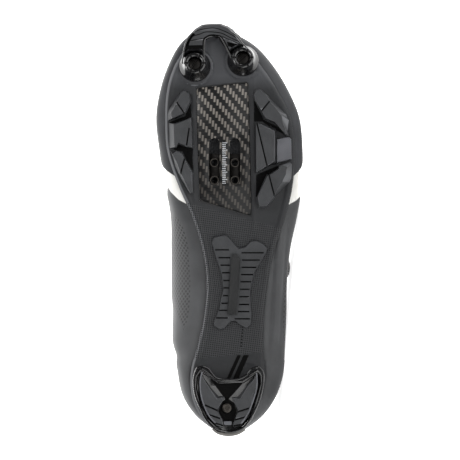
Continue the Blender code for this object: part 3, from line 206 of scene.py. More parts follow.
def ringOffset(ring, angle, out):
    point, outward = ringFrame(ring, angle)
    return point + outward * out


@lru_cache(maxsize=None)
def ridgePoint(theta):
    heel, toe = ridgeEnds
    x = heel + (toe - heel) * stationOf(theta)
    return Vector((x, last["ballWidth"] * ridgeAcross(theta),
                   plateTop(x) + last["instepHeight"] * ridgeHeight(theta)))


@lru_cache(maxsize=None)
def sectionOf(angle):
    # What the upper's function needs at one place round the shoe
    theta = abs(angle)
    side = 1 if angle >= 0 else -1
    wide, outward = ringFrame("side", angle)
    return (side, ridgePoint(theta), wide, outward, last["sideRise"] * sideHeight[side](theta), fullness(theta))


@lru_cache(maxsize=None)
def footPoint(angle, row):
    centre = 0.5 * (ringPoint("feather", angle) + ringPoint("feather", -angle))
    edge = ringOffset("feather", angle, -last["featherInset"])
    if row >= 0:
        return edge
    inner = ringOffset("feather", angle, -last["featherInset"] - last["lastingMargin"])
    reach = (edge - centre).length
    if reach < 2 * last["lastingMargin"] and 0.02 < abs(angle) < pi - 0.02:
        inner = edge.lerp(centre, 0.5)
    return edge.lerp(inner, -row)


def upperPoint(angle, row, out):
    side, ridge, widePoint, outward, rise, full = sectionOf(angle)
    foot = footPoint(angle, min(row, 0.0))
    footHeight = plateTop(foot.x) + last["gap"] - out
    if row <= 0:
        return Vector((foot.x, foot.y, footHeight))
    wide = widePoint + outward * out
    wideHeight = plateTop(wide.x) + rise
    if row <= 1:
        turn = row * pi / 2
        flat = foot.lerp(wide, sin(turn))
        return Vector((flat.x, flat.y, wideHeight + (footHeight - wideHeight) * cos(turn)))
    turn = (row - 1) * pi / 2
    lean = max(cos(turn), 0.0) ** full
    flat = ridge.xy.lerp(wide, lean)
    return Vector((flat.x, flat.y, wideHeight + (ridge.z + out - wideHeight) * sin(turn)))


def throatHalfWidth(x):
    curveStart = last["throatFront"] - last["throatFrontHalf"]
    if x >= last["throatFront"]:
        return 0.0
    if x > curveStart:
        return last["throatFrontHalf"] * sqrt(1 - ((x - curveStart) / last["throatFrontHalf"]) ** 2)
    grade = (last["throatTopHalf"] - last["throatFrontHalf"]) / (curveStart - last["throatTop"])
    return min(last["throatFrontHalf"] + grade * (curveStart - x), last["throatTopHalf"])


def rowAtHalfWidth(angle, halfWidth):
    theta = abs(angle)
    reach = abs(ringFrame("side", angle)[0].y - ridgePoint(theta).y)
    if reach <= halfWidth:
        return 1.0
    return 1 + acos((halfWidth / reach) ** (1 / fullness(theta))) * 2 / pi


@lru_cache(maxsize=None)
def edgeRow(angle):
    side, ridge, wide, outward, rise, full = sectionOf(angle)
    if ridge.x >= last["throatFront"] - 1e-7:
        return 2.0
    wideHeight = plateTop(wide.x) + rise
    collar = plateTop(wide.x) + last["collarHeight"] * collarLine(abs(angle))
    byCollar = 1 + asin(min((collar - wideHeight) / (ridge.z - wideHeight), 1.0)) * 2 / pi
    if ridge.x < last["throatTop"] / 2:
        return byCollar
    byThroat = rowAtHalfWidth(angle, throatHalfWidth(ridge.x))
    blend = 0.08
    apart = max(blend - abs(byCollar - byThroat), 0.0) / blend
    return min(byCollar, byThroat) - blend * apart**2 / 4


def guardStep(theta):
    return (last["guardWall"] + last["guardGap"]) * ease(stationOf(theta), 0.585, 0.630)


def wallAt(angle, row):
    reach = min(max((row - 1) / (edgeRow(angle) - 1), 0.0), 1.0)
    padded = last["collarPadding"] * (1 - ease(stationOf(abs(angle)), 0.27, 0.36))
    return last["wall"] + padded * ease(reach, 0.35, 0.80) * (1 - 0.35 * ease(reach, 0.85, 1.0))


# Colours, nodes and materials

def hexColor(text):
    channels = [int(text[i:i + 2], 16) / 255 for i in (1, 3, 5)]
    return (*[c / 12.92 if c <= 0.04045 else ((c + 0.055) / 1.055) ** 2.4 for c in channels], 1.0)


def addNode(tree, kind, *sources, output=0, **settings):
    # One node: its inputs in order, each a value or the output linked to it, and its settings by name
    node = tree.nodes.new("ShaderNode" + kind)
    for name in [name for name in settings if name not in node.inputs]:
        setattr(node, name, settings.pop(name))
    pairs = list(zip([socket for socket in node.inputs if socket.enabled], sources))
    for socket, source in pairs + [(node.inputs[name], value) for name, value in settings.items()]:
        if isinstance(source, bpy.types.NodeSocket):
            tree.links.new(source, socket)
        else:
            socket.default_value = source
    return node.outputs[output]


def newMaterial(name, color, roughness, metallic=0.0, coat=0.0, coatRoughness=0.1, ior=1.5, sheen=0.0):
    material = bpy.data.materials.new(name)
    material.use_nodes = True
    tree = material.node_tree
    shader = tree.nodes["Principled BSDF"]
    shader.inputs["Base Color"].default_value = hexColor(color)
    shader.inputs["Roughness"].default_value = roughness
    shader.inputs["Metallic"].default_value = metallic
    shader.inputs["Coat Weight"].default_value = coat
    shader.inputs["Coat Roughness"].default_value = coatRoughness
    shader.inputs["IOR"].default_value = ior
    shader.inputs["Sheen Weight"].default_value = sheen
    place = addNode(tree, "Attribute", attribute_name="shoeMm", output="Vector")
    return material, tree, shader, place


def bevelHighlightMask(tree):
    # 1 on the slanting bevels between a face that looks down and its walls: the mask for painted highlights on
    # those edges
    normal = addNode(tree, "NewGeometry", output="Normal")
    facing = addNode(tree, "VectorMath", normal, tuple(-shoeUp), operation="DOT_PRODUCT", output="Value")
    slant = addNode(tree, "Math", addNode(tree, "Math", 0.925, facing, operation="SUBTRACT"), 0.10,
                    operation="DIVIDE", use_clamp=True)
    steep = addNode(tree, "Math", addNode(tree, "Math", facing, 0.40, operation="SUBTRACT"), 0.15,
                    operation="DIVIDE", use_clamp=True)
    return addNode(tree, "Math", slant, steep, operation="MULTIPLY")


def makeMicrofibre():
    # Coated microfibre: soft grain, satin, with an off-white printed band
    # and laser-cut holes 2.4 mm apart in a diamond lattice, coloured near black as painted shade in the holes
    look = {"shell": "#37383a", "shade": "#2a2b2d", "band": "#e4e3df", "hole": "#030303",
            "holePitchAlong": 3.5, "holePitchAcross": 3.2, "holeRadius": 0.84, "grain": 1.6}
    material, tree, shader, place = newMaterial("coated microfibre", look["shell"], 0.52, sheen=0.12)
    noise = addNode(tree, "TexNoise", place, Scale=0.05, Detail=4.0)
    base = addNode(tree, "Mix", addNode(tree, "MapRange", noise, 0.35, 0.65), hexColor(look["shade"]),
                   hexColor(look["shell"]), data_type="RGBA", output=2)
    run = addNode(tree, "Attribute", attribute_name="girthMm", output="Vector")
    along, girth, row = addNode(tree, "SeparateXYZ", run, output=slice(0, 3))
    a = addNode(tree, "Math", along, look["holePitchAlong"], operation="DIVIDE")
    b = addNode(tree, "Math", girth, look["holePitchAcross"], operation="DIVIDE")
    p = addNode(tree, "Math",
                addNode(tree, "Math", addNode(tree, "Math", a, b, operation="ADD"), operation="FRACT"), 0.5,
                operation="SUBTRACT")
    q = addNode(tree, "Math",
                addNode(tree, "Math", addNode(tree, "Math", a, b, operation="SUBTRACT"), operation="FRACT"),
                0.5, operation="SUBTRACT")
    dx = addNode(tree, "Math", addNode(tree, "Math", p, q, operation="ADD"), 0.5 * look["holePitchAlong"],
                 operation="MULTIPLY")
    dy = addNode(tree, "Math", addNode(tree, "Math", p, q, operation="SUBTRACT"), 0.5 * look["holePitchAcross"],
                 operation="MULTIPLY")
    away = addNode(tree, "Math",
                   addNode(tree, "Math", addNode(tree, "Math", dx, dx, operation="MULTIPLY"),
                           addNode(tree, "Math", dy, dy, operation="MULTIPLY"), operation="ADD"),
                   operation="SQRT")
    inHole = addNode(tree, "Math", 1.0,
                     addNode(tree, "Math",
                             addNode(tree, "Math", away, look["holeRadius"] - 0.12, operation="SUBTRACT"), 0.24,
                             operation="DIVIDE"), operation="SUBTRACT", use_clamp=True)
    region = addNode(tree, "Attribute", attribute_name="holeField", output="Fac")
    inRegion = addNode(tree, "Math", addNode(tree, "Math", region, 1.2, operation="MULTIPLY"), 0.5,
                       operation="ADD", use_clamp=True)
    hole = addNode(tree, "Math", inHole, inRegion, operation="MULTIPLY")
    band = addNode(tree, "Attribute", attribute_name="bandField", output="Fac")
    inBand = addNode(tree, "Math", addNode(tree, "Math", band, 4.0, operation="MULTIPLY"), 0.5, operation="ADD",
                     use_clamp=True)
    colored = addNode(tree, "Mix", inBand, base, hexColor(look["band"]), data_type="RGBA", output=2)
    # Painted shade: the holes are coloured near black
    colored = addNode(tree, "Mix", hole, colored, hexColor(look["hole"]), data_type="RGBA", output=2)
    tree.links.new(colored, shader.inputs["Base Color"])
    fine = addNode(tree, "TexNoise", place, Scale=look["grain"], Detail=3.0)
    height = addNode(tree, "Math", addNode(tree, "Math", fine, 0.08, operation="MULTIPLY"),
                     addNode(tree, "Math", hole, 0.3, operation="MULTIPLY"), operation="SUBTRACT")
    height = addNode(tree, "Math", height, addNode(tree, "Math", inBand, 0.25, operation="MULTIPLY"),
                     operation="ADD")
    tree.links.new(addNode(tree, "Bump", Strength=0.7, Distance=0.0004, Height=height), shader.inputs["Normal"])
    rough = addNode(tree, "Math", addNode(tree, "Math", noise, 0.16, operation="MULTIPLY"), 0.42,
                    operation="ADD")
    tree.links.new(rough, shader.inputs["Roughness"])
    return material


def makeRubber(name, color, roughness, grain, bump, shine=0.5, edge=None):
    # Moulded rubber: matte with a fine mould grain and slight cloudiness
    material, tree, shader, place = newMaterial(name, color, roughness)
    shader.inputs["Specular IOR Level"].default_value = shine
    cloud = addNode(tree, "TexNoise", place, Scale=0.09, Detail=4.0)
    dark = tuple(0.80 * c for c in hexColor(color)[:3]) + (1.0,)
    light = tuple(1.18 * c for c in hexColor(color)[:3]) + (1.0,)
    colored = addNode(tree, "Mix", addNode(tree, "MapRange", cloud, 0.3, 0.7), dark, light, data_type="RGBA",
                      output=2)
    # Painted highlight: the slanted bevels get the lighter edge colour
    if edge:
        colored = addNode(tree, "Mix", bevelHighlightMask(tree), colored, hexColor(edge), data_type="RGBA", output=2)
    tree.links.new(colored, shader.inputs["Base Color"])
    rough = addNode(tree, "Math", addNode(tree, "Math", cloud, 0.15, operation="MULTIPLY"), roughness - 0.07,
                    operation="ADD")
    tree.links.new(rough, shader.inputs["Roughness"])
    tree.links.new(addNode(tree, "Bump", Strength=bump, Distance=0.0003,
                           Height=addNode(tree, "TexNoise", place, Scale=grain, Detail=2.0)),
                   shader.inputs["Normal"])
    return material


def makePlateNylon():
    # Glass-filled nylon, injection moulded: satin, with a grid of 1.0 mm dimples 1.45 mm apart on the shank,
    # coloured near black as painted shade in the dimples
    look = {"body": "#2e2f31", "dimple": "#050506", "pitch": 1.45, "half": 0.36, "tilt": 0.13,
            "edge": "#5b5c5f",
            "shade": "#1d1e20", "light": "#252628", "toeTone": "#3e3f42", "toeFrom": 236.0, "toeRun": 10.0,
            "frontLine": (158.0, -25.0, 141.0, 36.0), "rearLine": (52.0, -22.0, 56.6, 22.0)}
    material, tree, shader, place = newMaterial("moulded glass-filled nylon", look["body"], 0.46)
    shader.inputs["Specular IOR Level"].default_value = 0.25
    x, y, z = addNode(tree, "SeparateXYZ", place, output=slice(0, 3))

    def lineField(line):
        # x of the line at this y, less the place's own x
        x0, y0, x1, y1 = line
        slope = (x1 - x0) / (y1 - y0)
        onLine = addNode(tree, "Math", addNode(tree, "Math", y, slope, operation="MULTIPLY"), x0 - slope * y0,
                         operation="ADD")
        return addNode(tree, "Math", onLine, x, operation="SUBTRACT")

    front = addNode(tree, "Math",
                    addNode(tree, "Math", lineField(look["frontLine"]), 2.0, operation="MULTIPLY"), 0.5,
                    operation="ADD", use_clamp=True)
    rear = addNode(tree, "Math", addNode(tree, "Math", lineField(look["rearLine"]), -2.0, operation="MULTIPLY"),
                   0.5, operation="ADD", use_clamp=True)
    flat = addNode(tree, "Math", front, rear, operation="MULTIPLY")
    u = addNode(tree, "Math", x, addNode(tree, "Math", y, look["tilt"], operation="MULTIPLY"), operation="ADD")
    v = addNode(tree, "Math", y, addNode(tree, "Math", x, look["tilt"], operation="MULTIPLY"),
                operation="SUBTRACT")

    def stripe(value):
        part = addNode(tree, "Math", addNode(tree, "Math", value, look["pitch"], operation="DIVIDE"),
                       operation="FRACT")
        off = addNode(tree, "Math", addNode(tree, "Math", part, 0.5, operation="SUBTRACT"),
                      operation="ABSOLUTE")
        return addNode(tree, "Math", addNode(tree, "Math", look["half"], off, operation="SUBTRACT"), 0.12,
                       operation="DIVIDE", use_clamp=True)

    dimple = addNode(tree, "Math", addNode(tree, "Math", stripe(u), stripe(v), operation="MULTIPLY"), flat,
                     operation="MULTIPLY")
    cloud = addNode(tree, "TexNoise", place, Scale=0.05, Detail=4.0)
    body = addNode(tree, "Mix", addNode(tree, "MapRange", cloud, 0.3, 0.7), hexColor(look["shade"]),
                   hexColor(look["light"]), data_type="RGBA", output=2)
    toeward = addNode(tree, "Math", addNode(tree, "Math", x, look["toeFrom"], operation="SUBTRACT"),
                      look["toeRun"], operation="DIVIDE", use_clamp=True)
    body = addNode(tree, "Mix", toeward, body, hexColor(look["toeTone"]), data_type="RGBA", output=2)
    ridge = addNode(tree, "Mix", flat, body, hexColor(look["body"]), data_type="RGBA", output=2)
    # Painted highlight: slanted bevels on the medial side get the lighter edge colour
    inner = addNode(tree, "Math", y, -12.0, operation="DIVIDE", use_clamp=True)
    ridge = addNode(tree, "Mix", addNode(tree, "Math", bevelHighlightMask(tree), inner, operation="MULTIPLY"), ridge,
                    hexColor(look["edge"]), data_type="RGBA", output=2)
    # Painted shade: the dimples are coloured near black
    colored = addNode(tree, "Mix", dimple, ridge, hexColor(look["dimple"]), data_type="RGBA", output=2)
    tree.links.new(colored, shader.inputs["Base Color"])
    grain = addNode(tree, "TexNoise", place, Scale=2.2, Detail=2.0)
    height = addNode(tree, "Math", addNode(tree, "Math", grain, 0.10, operation="MULTIPLY"),
                     addNode(tree, "Math", dimple, 0.35, operation="MULTIPLY"), operation="SUBTRACT")
    tree.links.new(addNode(tree, "Bump", Strength=0.6, Distance=0.0003, Height=height), shader.inputs["Normal"])
    return material


def makeCarbonTwill():
    # Carbon twill, 2 by 2, tows 2.1 mm wide, under clear resin. The tows that run along are coloured light as a
    # painted reflection, lightest across their crowns, and darken towards the heel as painted shade.
    # Their filaments are too fine to show, so they are drawn 0.34 mm wide
    look = {"warp": "#8d8780", "weft": "#0c0c0d", "tow": 2.1, "thread": 0.16, "turn": 0.07, "resin": "#2a2a2c",
            "warpShade": "#4a4642", "warpGap": "#080808", "weftGap": "#050505", "shadeFrom": 232.0,
            "shadeRun": 60.0}
    material, tree, shader, place = newMaterial("carbon twill", look["resin"], 0.34, coat=0.06,
                                                coatRoughness=0.12)
    shader.inputs["Specular IOR Level"].default_value = 0.22
    x, y, z = addNode(tree, "SeparateXYZ", place, output=slice(0, 3))
    u = addNode(tree, "Math",
                addNode(tree, "Math", x, addNode(tree, "Math", y, look["turn"], operation="MULTIPLY"),
                        operation="ADD"), look["tow"], operation="DIVIDE")
    v = addNode(tree, "Math",
                addNode(tree, "Math", addNode(tree, "Math", x, look["turn"], operation="MULTIPLY"), y,
                        operation="SUBTRACT"), look["tow"], operation="DIVIDE")
    column, line = addNode(tree, "Math", u, operation="FLOOR"), addNode(tree, "Math", v, operation="FLOOR")
    step = addNode(tree, "Math", addNode(tree, "Math", column, line, operation="SUBTRACT"), 4.0,
                   operation="DIVIDE")
    over = addNode(tree, "Math",
                   addNode(tree, "Math", addNode(tree, "Math", step, 0.01, operation="ADD"), operation="FRACT"),
                   0.5, operation="LESS_THAN")
    fu = addNode(tree, "Math", addNode(tree, "Math", u, operation="FRACT"), 0.5, operation="SUBTRACT")
    fv = addNode(tree, "Math", addNode(tree, "Math", v, operation="FRACT"), 0.5, operation="SUBTRACT")

    def crown(part):
        return addNode(tree, "Math", 1.0,
                       addNode(tree, "Math", addNode(tree, "Math", part, part, operation="MULTIPLY"), 3.4,
                               operation="MULTIPLY"), operation="SUBTRACT")

    crownWarp, crownWeft = crown(fv), crown(fu)
    threadsWarp = addNode(tree, "Math", addNode(tree, "Math", v, look["thread"], operation="DIVIDE"),
                          operation="FRACT")
    threadsWeft = addNode(tree, "Math", addNode(tree, "Math", u, look["thread"], operation="DIVIDE"),
                          operation="FRACT")
    towWarp = addNode(tree, "Math", crownWarp,
                      addNode(tree, "Math", addNode(tree, "Math", threadsWarp, 0.25, operation="MULTIPLY"),
                              0.75, operation="ADD"), operation="MULTIPLY")
    towWeft = addNode(tree, "Math", crownWeft,
                      addNode(tree, "Math", addNode(tree, "Math", threadsWeft, 0.25, operation="MULTIPLY"),
                              0.75, operation="ADD"), operation="MULTIPLY")
    height = addNode(tree, "Mix", over, towWeft, towWarp)
    # Painted shade: the along-running tows darken towards the heel
    shade = addNode(tree, "Math", addNode(tree, "Math", look["shadeFrom"], x, operation="SUBTRACT"),
                    look["shadeRun"], operation="DIVIDE", use_clamp=True)
    bright = addNode(tree, "Mix", shade, hexColor(look["warp"]), hexColor(look["warpShade"]), data_type="RGBA",
                     output=2)
    # Painted highlight across each tow's crown, with painted shade at its edges
    warp = addNode(tree, "Mix", addNode(tree, "Math", towWarp, towWarp, operation="MULTIPLY"),
                   hexColor(look["warpGap"]), bright, data_type="RGBA", output=2)
    weft = addNode(tree, "Mix", towWeft, hexColor(look["weftGap"]), hexColor(look["weft"]), data_type="RGBA",
                   output=2)
    tree.links.new(addNode(tree, "Mix", over, weft, warp, data_type="RGBA", output=2),
                   shader.inputs["Base Color"])
    tree.links.new(addNode(tree, "Bump", Strength=0.4, Distance=0.00012, Height=height),
                   shader.inputs["Normal"])
    return material


def makeGlossTpu():
    # Polished injection-moulded TPU: near black, with faint ripples that break up the highlights
    material, tree, shader, place = newMaterial("gloss moulded TPU", "#0b0b0c", 0.14, coat=0.5,
                                                coatRoughness=0.06)
    tree.links.new(addNode(tree, "Bump", Strength=0.12, Distance=0.0006,
                           Height=addNode(tree, "TexNoise", place, Scale=0.25, Detail=2.0)),
                   shader.inputs["Normal"])
    rough = addNode(tree, "Math",
                    addNode(tree, "Math", addNode(tree, "TexNoise", place, Scale=0.6, Detail=3.0), 0.14,
                            operation="MULTIPLY"), 0.07, operation="ADD")
    tree.links.new(rough, shader.inputs["Roughness"])
    return material


def makeSteel(name, color):
    # Turned steel under a dark conversion coating: dull metal with a fine mottled grain
    material, tree, shader, place = newMaterial(name, color, 0.36, metallic=1.0)
    tree.links.new(addNode(tree, "Bump", Strength=0.15, Distance=0.0002,
                           Height=addNode(tree, "TexNoise", place, Scale=1.8, Detail=3.0)),
                   shader.inputs["Normal"])
    return material


def makeKnit(name, color):
    # Knitted lining: loops 0.9 mm apart, soft and matt
    material, tree, shader, place = newMaterial(name, color, 0.9, sheen=0.35)
    cells = addNode(tree, "TexVoronoi", place, Scale=1.1)
    dark = tuple(0.45 * c for c in hexColor(color)[:3]) + (1.0,)
    tree.links.new(addNode(tree, "Mix", cells, hexColor(color), dark, data_type="RGBA", output=2),
                   shader.inputs["Base Color"])
    tree.links.new(addNode(tree, "Bump", Strength=0.6, Distance=0.0006,
                           Height=addNode(tree, "Math", cells, -1.0, operation="MULTIPLY")),
                   shader.inputs["Normal"])
    return material


def makePaint(name, color):
    # Pad-printed ink: flat, slightly worn
    material, tree, shader, place = newMaterial(name, color, 0.6)
    worn = addNode(tree, "MapRange", addNode(tree, "TexNoise", place, Scale=1.5, Detail=4.0), 0.36, 0.46)
    tree.links.new(addNode(tree, "Mix", worn, hexColor("#6a6a6c"), hexColor(color), data_type="RGBA", output=2),
                   shader.inputs["Base Color"])
    return material


finish = {
    "microfibre": makeMicrofibre(),
    "rand": makeRubber("smooth rand rubber", "#2e2f32", 0.46, 1.2, 0.15, shine=0.35),
    # The tread's edge colour is a painted highlight on its slanted bevels
    "tread": makeRubber("moulded tread rubber", "#303133", 0.55, 1.0, 0.25, shine=0.30, edge="#626366"),
    "bumper": makeRubber("worn heel rubber", "#5f5d5a", 0.62, 1.0, 0.30),
    "platform": makeRubber("smooth sole rubber", "#4f5055", 0.45, 1.0, 0.15),
    "nylon": makePlateNylon(),
    "carbon": makeCarbonTwill(),
    "frameNylon": makeRubber("dark satin nylon", "#161718", 0.42, 1.5, 0.12, shine=0.30),
    # Near black with almost no specular: painted shade for the grooves, cut walls, pockets and gaps it is used
    # in
    "recess": makeRubber("painted shade black", "#050505", 0.55, 1.0, 0.10, shine=0.05),
    "tpu": makeGlossTpu(),
    "steel": makeSteel("black oxide steel", "#3f3c39"),
    "darkSteel": makeSteel("dark phosphated steel", "#1e1d1c"),
    "lining": makeKnit("knitted lining", "#26272a"),
    "tongueKnit": makeKnit("engineered knit", "#303236"),
    "ink": makePaint("scale ink", "#b9bcc0"),
    "cord": makeKnit("braided lace", "#3b3c3f"),
}
print("stage 2: materials ready")


# Pieces: each is drawn in the shoe's frame, then gets its own millimetre coordinates and its place

def linked(name, mesh):
    obj = bpy.data.objects.new(name, mesh)
    bpy.context.scene.collection.objects.link(obj)
    return obj


def meshObject(name, work):
    bmesh.ops.recalc_face_normals(work, faces=work.faces)
    if work.calc_volume(signed=True) < 0:
        bmesh.ops.reverse_faces(work, faces=work.faces)
    mesh = bpy.data.meshes.new(name)
    work.to_mesh(mesh)
    work.free()
    return linked(name, mesh)


def baked(obj):
    # The object's mesh with its modifiers applied
    bpy.context.view_layer.update()
    mesh = bpy.data.meshes.new_from_object(obj.evaluated_get(bpy.context.evaluated_depsgraph_get()))
    obj.modifiers.clear()
    old = obj.data
    obj.data = mesh
    bpy.data.meshes.remove(old)
    return obj


def cut(obj, cutter, deep=None):
    # Cuts one closed mesh out of another; the walls of the cut may get a finish of their own
    if deep:
        cutter.data.materials.append(deep)
    modifier = obj.modifiers.new("cut", "BOOLEAN")
    modifier.operation = "DIFFERENCE"
    modifier.solver = "EXACT"
    modifier.material_mode = "TRANSFER"
    modifier.object = cutter
    baked(obj)
    bpy.data.objects.remove(cutter, do_unlink=True)
    return obj


def rounded(obj, width, segments=2, angle=0.5):
    modifier = obj.modifiers.new("edge", "BEVEL")
    modifier.width = width
    modifier.segments = segments
    modifier.limit_method = "ANGLE"
    modifier.angle_limit = angle
    return baked(obj)


def settled(obj, name, materials, slotName, replaced=(), sharp=0.6):
    mesh = obj.data
    mesh.name = name
    obj.name = name
    for material in materials:
        mesh.materials.append(material)
    for i, material in enumerate(mesh.materials):
        if material is None:
            mesh.materials[i] = materials[0]
    attribute = mesh.attributes.new("shoeMm", "FLOAT_VECTOR", "POINT")
    attribute.data.foreach_set("vector", [1000 * c for vert in mesh.vertices for c in vert.co])
    mesh.transform(shoeToWorld)
    mesh.shade_smooth()
    mesh.set_sharp_from_angle(angle=sharp)
    if slotName == "tread_rubber":
        # Cut lugs have long flat faces, which must not shade as curved
        weights = obj.modifiers.new("flatFaces", "WEIGHTED_NORMAL")
        weights.keep_sharp = True
        weights.weight = 100
    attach(obj, "root")
    if replaced:
        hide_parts(*replaced)
    return obj


def copyOf(node, material, flatness=0.02):
    # A CAD solid as clean faces in the shoe's frame
    work = bmesh.new()
    work.from_mesh(frame["nodes"][node].data)
    bmesh.ops.transform(work, matrix=worldToShoe, verts=work.verts)
    bmesh.ops.remove_doubles(work, verts=work.verts, dist=0.000005)
    bmesh.ops.dissolve_limit(work, angle_limit=flatness, verts=work.verts, edges=work.edges)
    for face in work.faces:
        face.material_index = 0
    obj = meshObject("work_" + node, work)
    obj.data.materials.append(material)
    return obj


def prismObject(points, low, high):
    # points in the shoe's plan, metres; low and high are heights or functions of the place
    work = bmesh.new()
    rings = []
    for level in (low, high):
        rings.append([work.verts.new((x, y, level(x) if callable(level) else level)) for x, y in points])
    total = len(points)
    for i in range(total):
        j = (i + 1) % total
        work.faces.new((rings[0][i], rings[0][j], rings[1][j], rings[1][i]))
    for ring in rings:
        work.faces.new(ring)
    bmesh.ops.triangulate(work, faces=[face for face in work.faces if len(face.verts) > 4])
    return meshObject("prism", work)


def strokes(lines, low, high):
    # One cutter from several straight strokes: x0, y0, x1, y1, width, all in millimetres
    work = bmesh.new()
    for x0, y0, x1, y1, width in lines:
        start, end = Vector((x0, y0)) / 1000, Vector((x1, y1)) / 1000
        across = Vector((-(end - start).y, (end - start).x)).normalized() * width / 2000
        corners = (start - across, end - across, end + across, start + across)
        rings = [[work.verts.new((p.x, p.y, level(p.x))) for p in corners] for level in (low, high)]
        for i in range(4):
            j = (i + 1) % 4
            work.faces.new((rings[0][i], rings[0][j], rings[1][j], rings[1][i]))
        work.faces.new(rings[0])
        work.faces.new(rings[1])
    return meshObject("strokes", work)


def smoothPath(points, closed=False, steps=5):
    # A curve through points given in the shoe's frame
    result = []
    count = len(points)
    for i in range(count if closed else count - 1):
        p0 = points[i - 1] if (closed or i > 0) else points[i]
        p1, p2 = points[i], points[(i + 1) % count]
        p3 = points[(i + 2) % count] if (closed or i < count - 2) else p2
        for k in range(steps):
            t = k / steps
            result.append(0.5 * (2 * p1 + (p2 - p0) * t + (2 * p0 - 5 * p1 + 4 * p2 - p3) * t * t
                                 + (3 * p1 - p0 - 3 * p2 + p3) * t ** 3))
    if not closed:
        result.append(points[-1])
    return result


def beadObject(name, points, radius, closed=False, sides=8, flatten=1.0):
    # A round bead swept along a path
    work = bmesh.new()
    turns = [2 * pi * k / sides for k in range(sides)]
    rings = []
    count = len(points)
    for i, point in enumerate(points):
        before = points[i - 1] if (closed or i > 0) else point
        after = points[(i + 1) % count] if (closed or i < count - 1) else point
        along = (after - before).normalized()
        side = along.cross(Vector((0.0, 0.0, 1.0))).normalized()
        lift = side.cross(along).normalized()
        rings.append([work.verts.new(point + side * radius * cos(turn) + lift * radius * flatten * sin(turn))
                      for turn in turns])
    for i in range(count if closed else count - 1):
        a, b = rings[i], rings[(i + 1) % count]
        for k in range(sides):
            work.faces.new((a[k], a[(k + 1) % sides], b[(k + 1) % sides], b[k]))
    if not closed:
        work.faces.new(rings[0])
        work.faces.new(rings[-1])
    return meshObject(name, work)


def lathed(profile, steps, matrix):
    # profile: radius and height from the axis at the top to the axis at the foot
    work = bmesh.new()
    rings = []
    for radius, height in profile:
        count = steps if radius > 1e-9 else 1
        rings.append([work.verts.new(matrix @ Vector((radius * cos(2 * pi * k / steps),
                                                      radius * sin(2 * pi * k / steps), height)))
                      for k in range(count)])
    for a, b in zip(rings, rings[1:]):
        for k in range(steps):
            j = (k + 1) % steps
            corners = [a[k % len(a)], a[j % len(a)], b[j % len(b)], b[k % len(b)]]
            work.faces.new(list(dict.fromkeys(corners)))
    return meshObject("lathed", work)


def frameAt(origin, forward, normal):
    side = normal.cross(forward).normalized()
    forward = side.cross(normal).normalized()
    return Matrix.Translation(origin) @ Matrix((forward, side, normal)).transposed().to_4x4()


# Upper: moulded shell with its panels, band, holes and creases

upperLook = {
    "rearAngles": 120, "frontAngles": 66, "lowerRows": 26, "upperRows": 44, "rimRows": 5,
    "counterEdge": 50.0, "counterLean": 0.30, "counterRise": 0.00045,
    "bandFront": {-1: ((-46.6, 186.7), (-44.0, 183.2), (-39.2, 180.1), (-30.0, 176.5)),
                  1: ((44.7, 178.7), (50.1, 185.3))},
    "bandRear": {-1: ((-43.7, 171.4), (-40.2, 166.2), (-35.0, 161.0), (-30.1, 158.4)),
                 1: ((41.1, 157.9), (45.6, 160.4), (48.7, 163.5))},
    "bandTop": (168.5, 185.0), "bandLean": 0.30,
}


def lineValue(points, y):
    points = sorted(points)
    if y <= points[0][0]:
        (y0, x0), (y1, x1) = points[0], points[1]
    elif y >= points[-1][0]:
        (y0, x0), (y1, x1) = points[-2], points[-1]
    else:
        i = max(k for k in range(len(points) - 1) if points[k][0] <= y)
        (y0, x0), (y1, x1) = points[i], points[i + 1]
    return x0 + (x1 - x0) * (y - y0) / (y1 - y0)


def bandFieldAt(side, x, y, z, row, wideHeight):
    # Signed distance into the off-white band, millimetres
    front = lineValue(upperLook["bandFront"][side], y)
    rear = lineValue(upperLook["bandRear"][side], y)
    if row > 1:
        rise = z - wideHeight
        edge = ringFrame("side", side * angleOf(min(max(x / 278.0, 0.0), 1.0)))[0].y * 1000
        # The two sides' lines run into each other over the top
        joined = ease(row, 1.0, 1.85)
        front = lineValue(upperLook["bandFront"][side], edge)
        front += joined * (upperLook["bandTop"][1] - front) + upperLook["bandLean"] * rise
        rear = lineValue(upperLook["bandRear"][side], edge)
        rear += joined * (upperLook["bandTop"][0] - rear) + upperLook["bandLean"] * rise
    return 0.9 * min(front - x, x - rear)


holeFields = {
    -1: {"inner": ((60.0, 31.5), (72.6, 31.4), (76.0, 29.5), (85.0, 27.5), (104.0, 26.9), (129.0, 28.3),
                   (140.0, 31.1), (149.0, 35.5)),
         "outer": ((60.0, 31.5), (72.6, 31.8), (80.0, 35.0), (92.0, 41.0), (110.0, 60.0)), "from": 71.0,
         "to": 149.0, "top": 62.0},
    1: {"inner": ((50.0, 39.0), (61.0, 37.4), (80.0, 36.6), (104.0, 37.6), (120.0, 40.0)),
        "outer": ((40.0, 60.0), (130.0, 60.0)), "from": 60.0, "to": 118.0, "top": 52.0},
}


def holeFieldAt(side, x, y, z, row):
    spec = holeFields[side]
    inner = lineValue(spec["inner"], x)
    outer = lineValue(spec["outer"], x)
    field = min(x - spec["from"], spec["to"] - x, spec["top"] - z)
    if row <= 1:
        field = min(field, abs(y) - inner, outer - abs(y))
    elif outer < 45:
        field = -1.0
    return field


def groove(value, centre, width):
    return exp(-((value - centre) / width) ** 2)


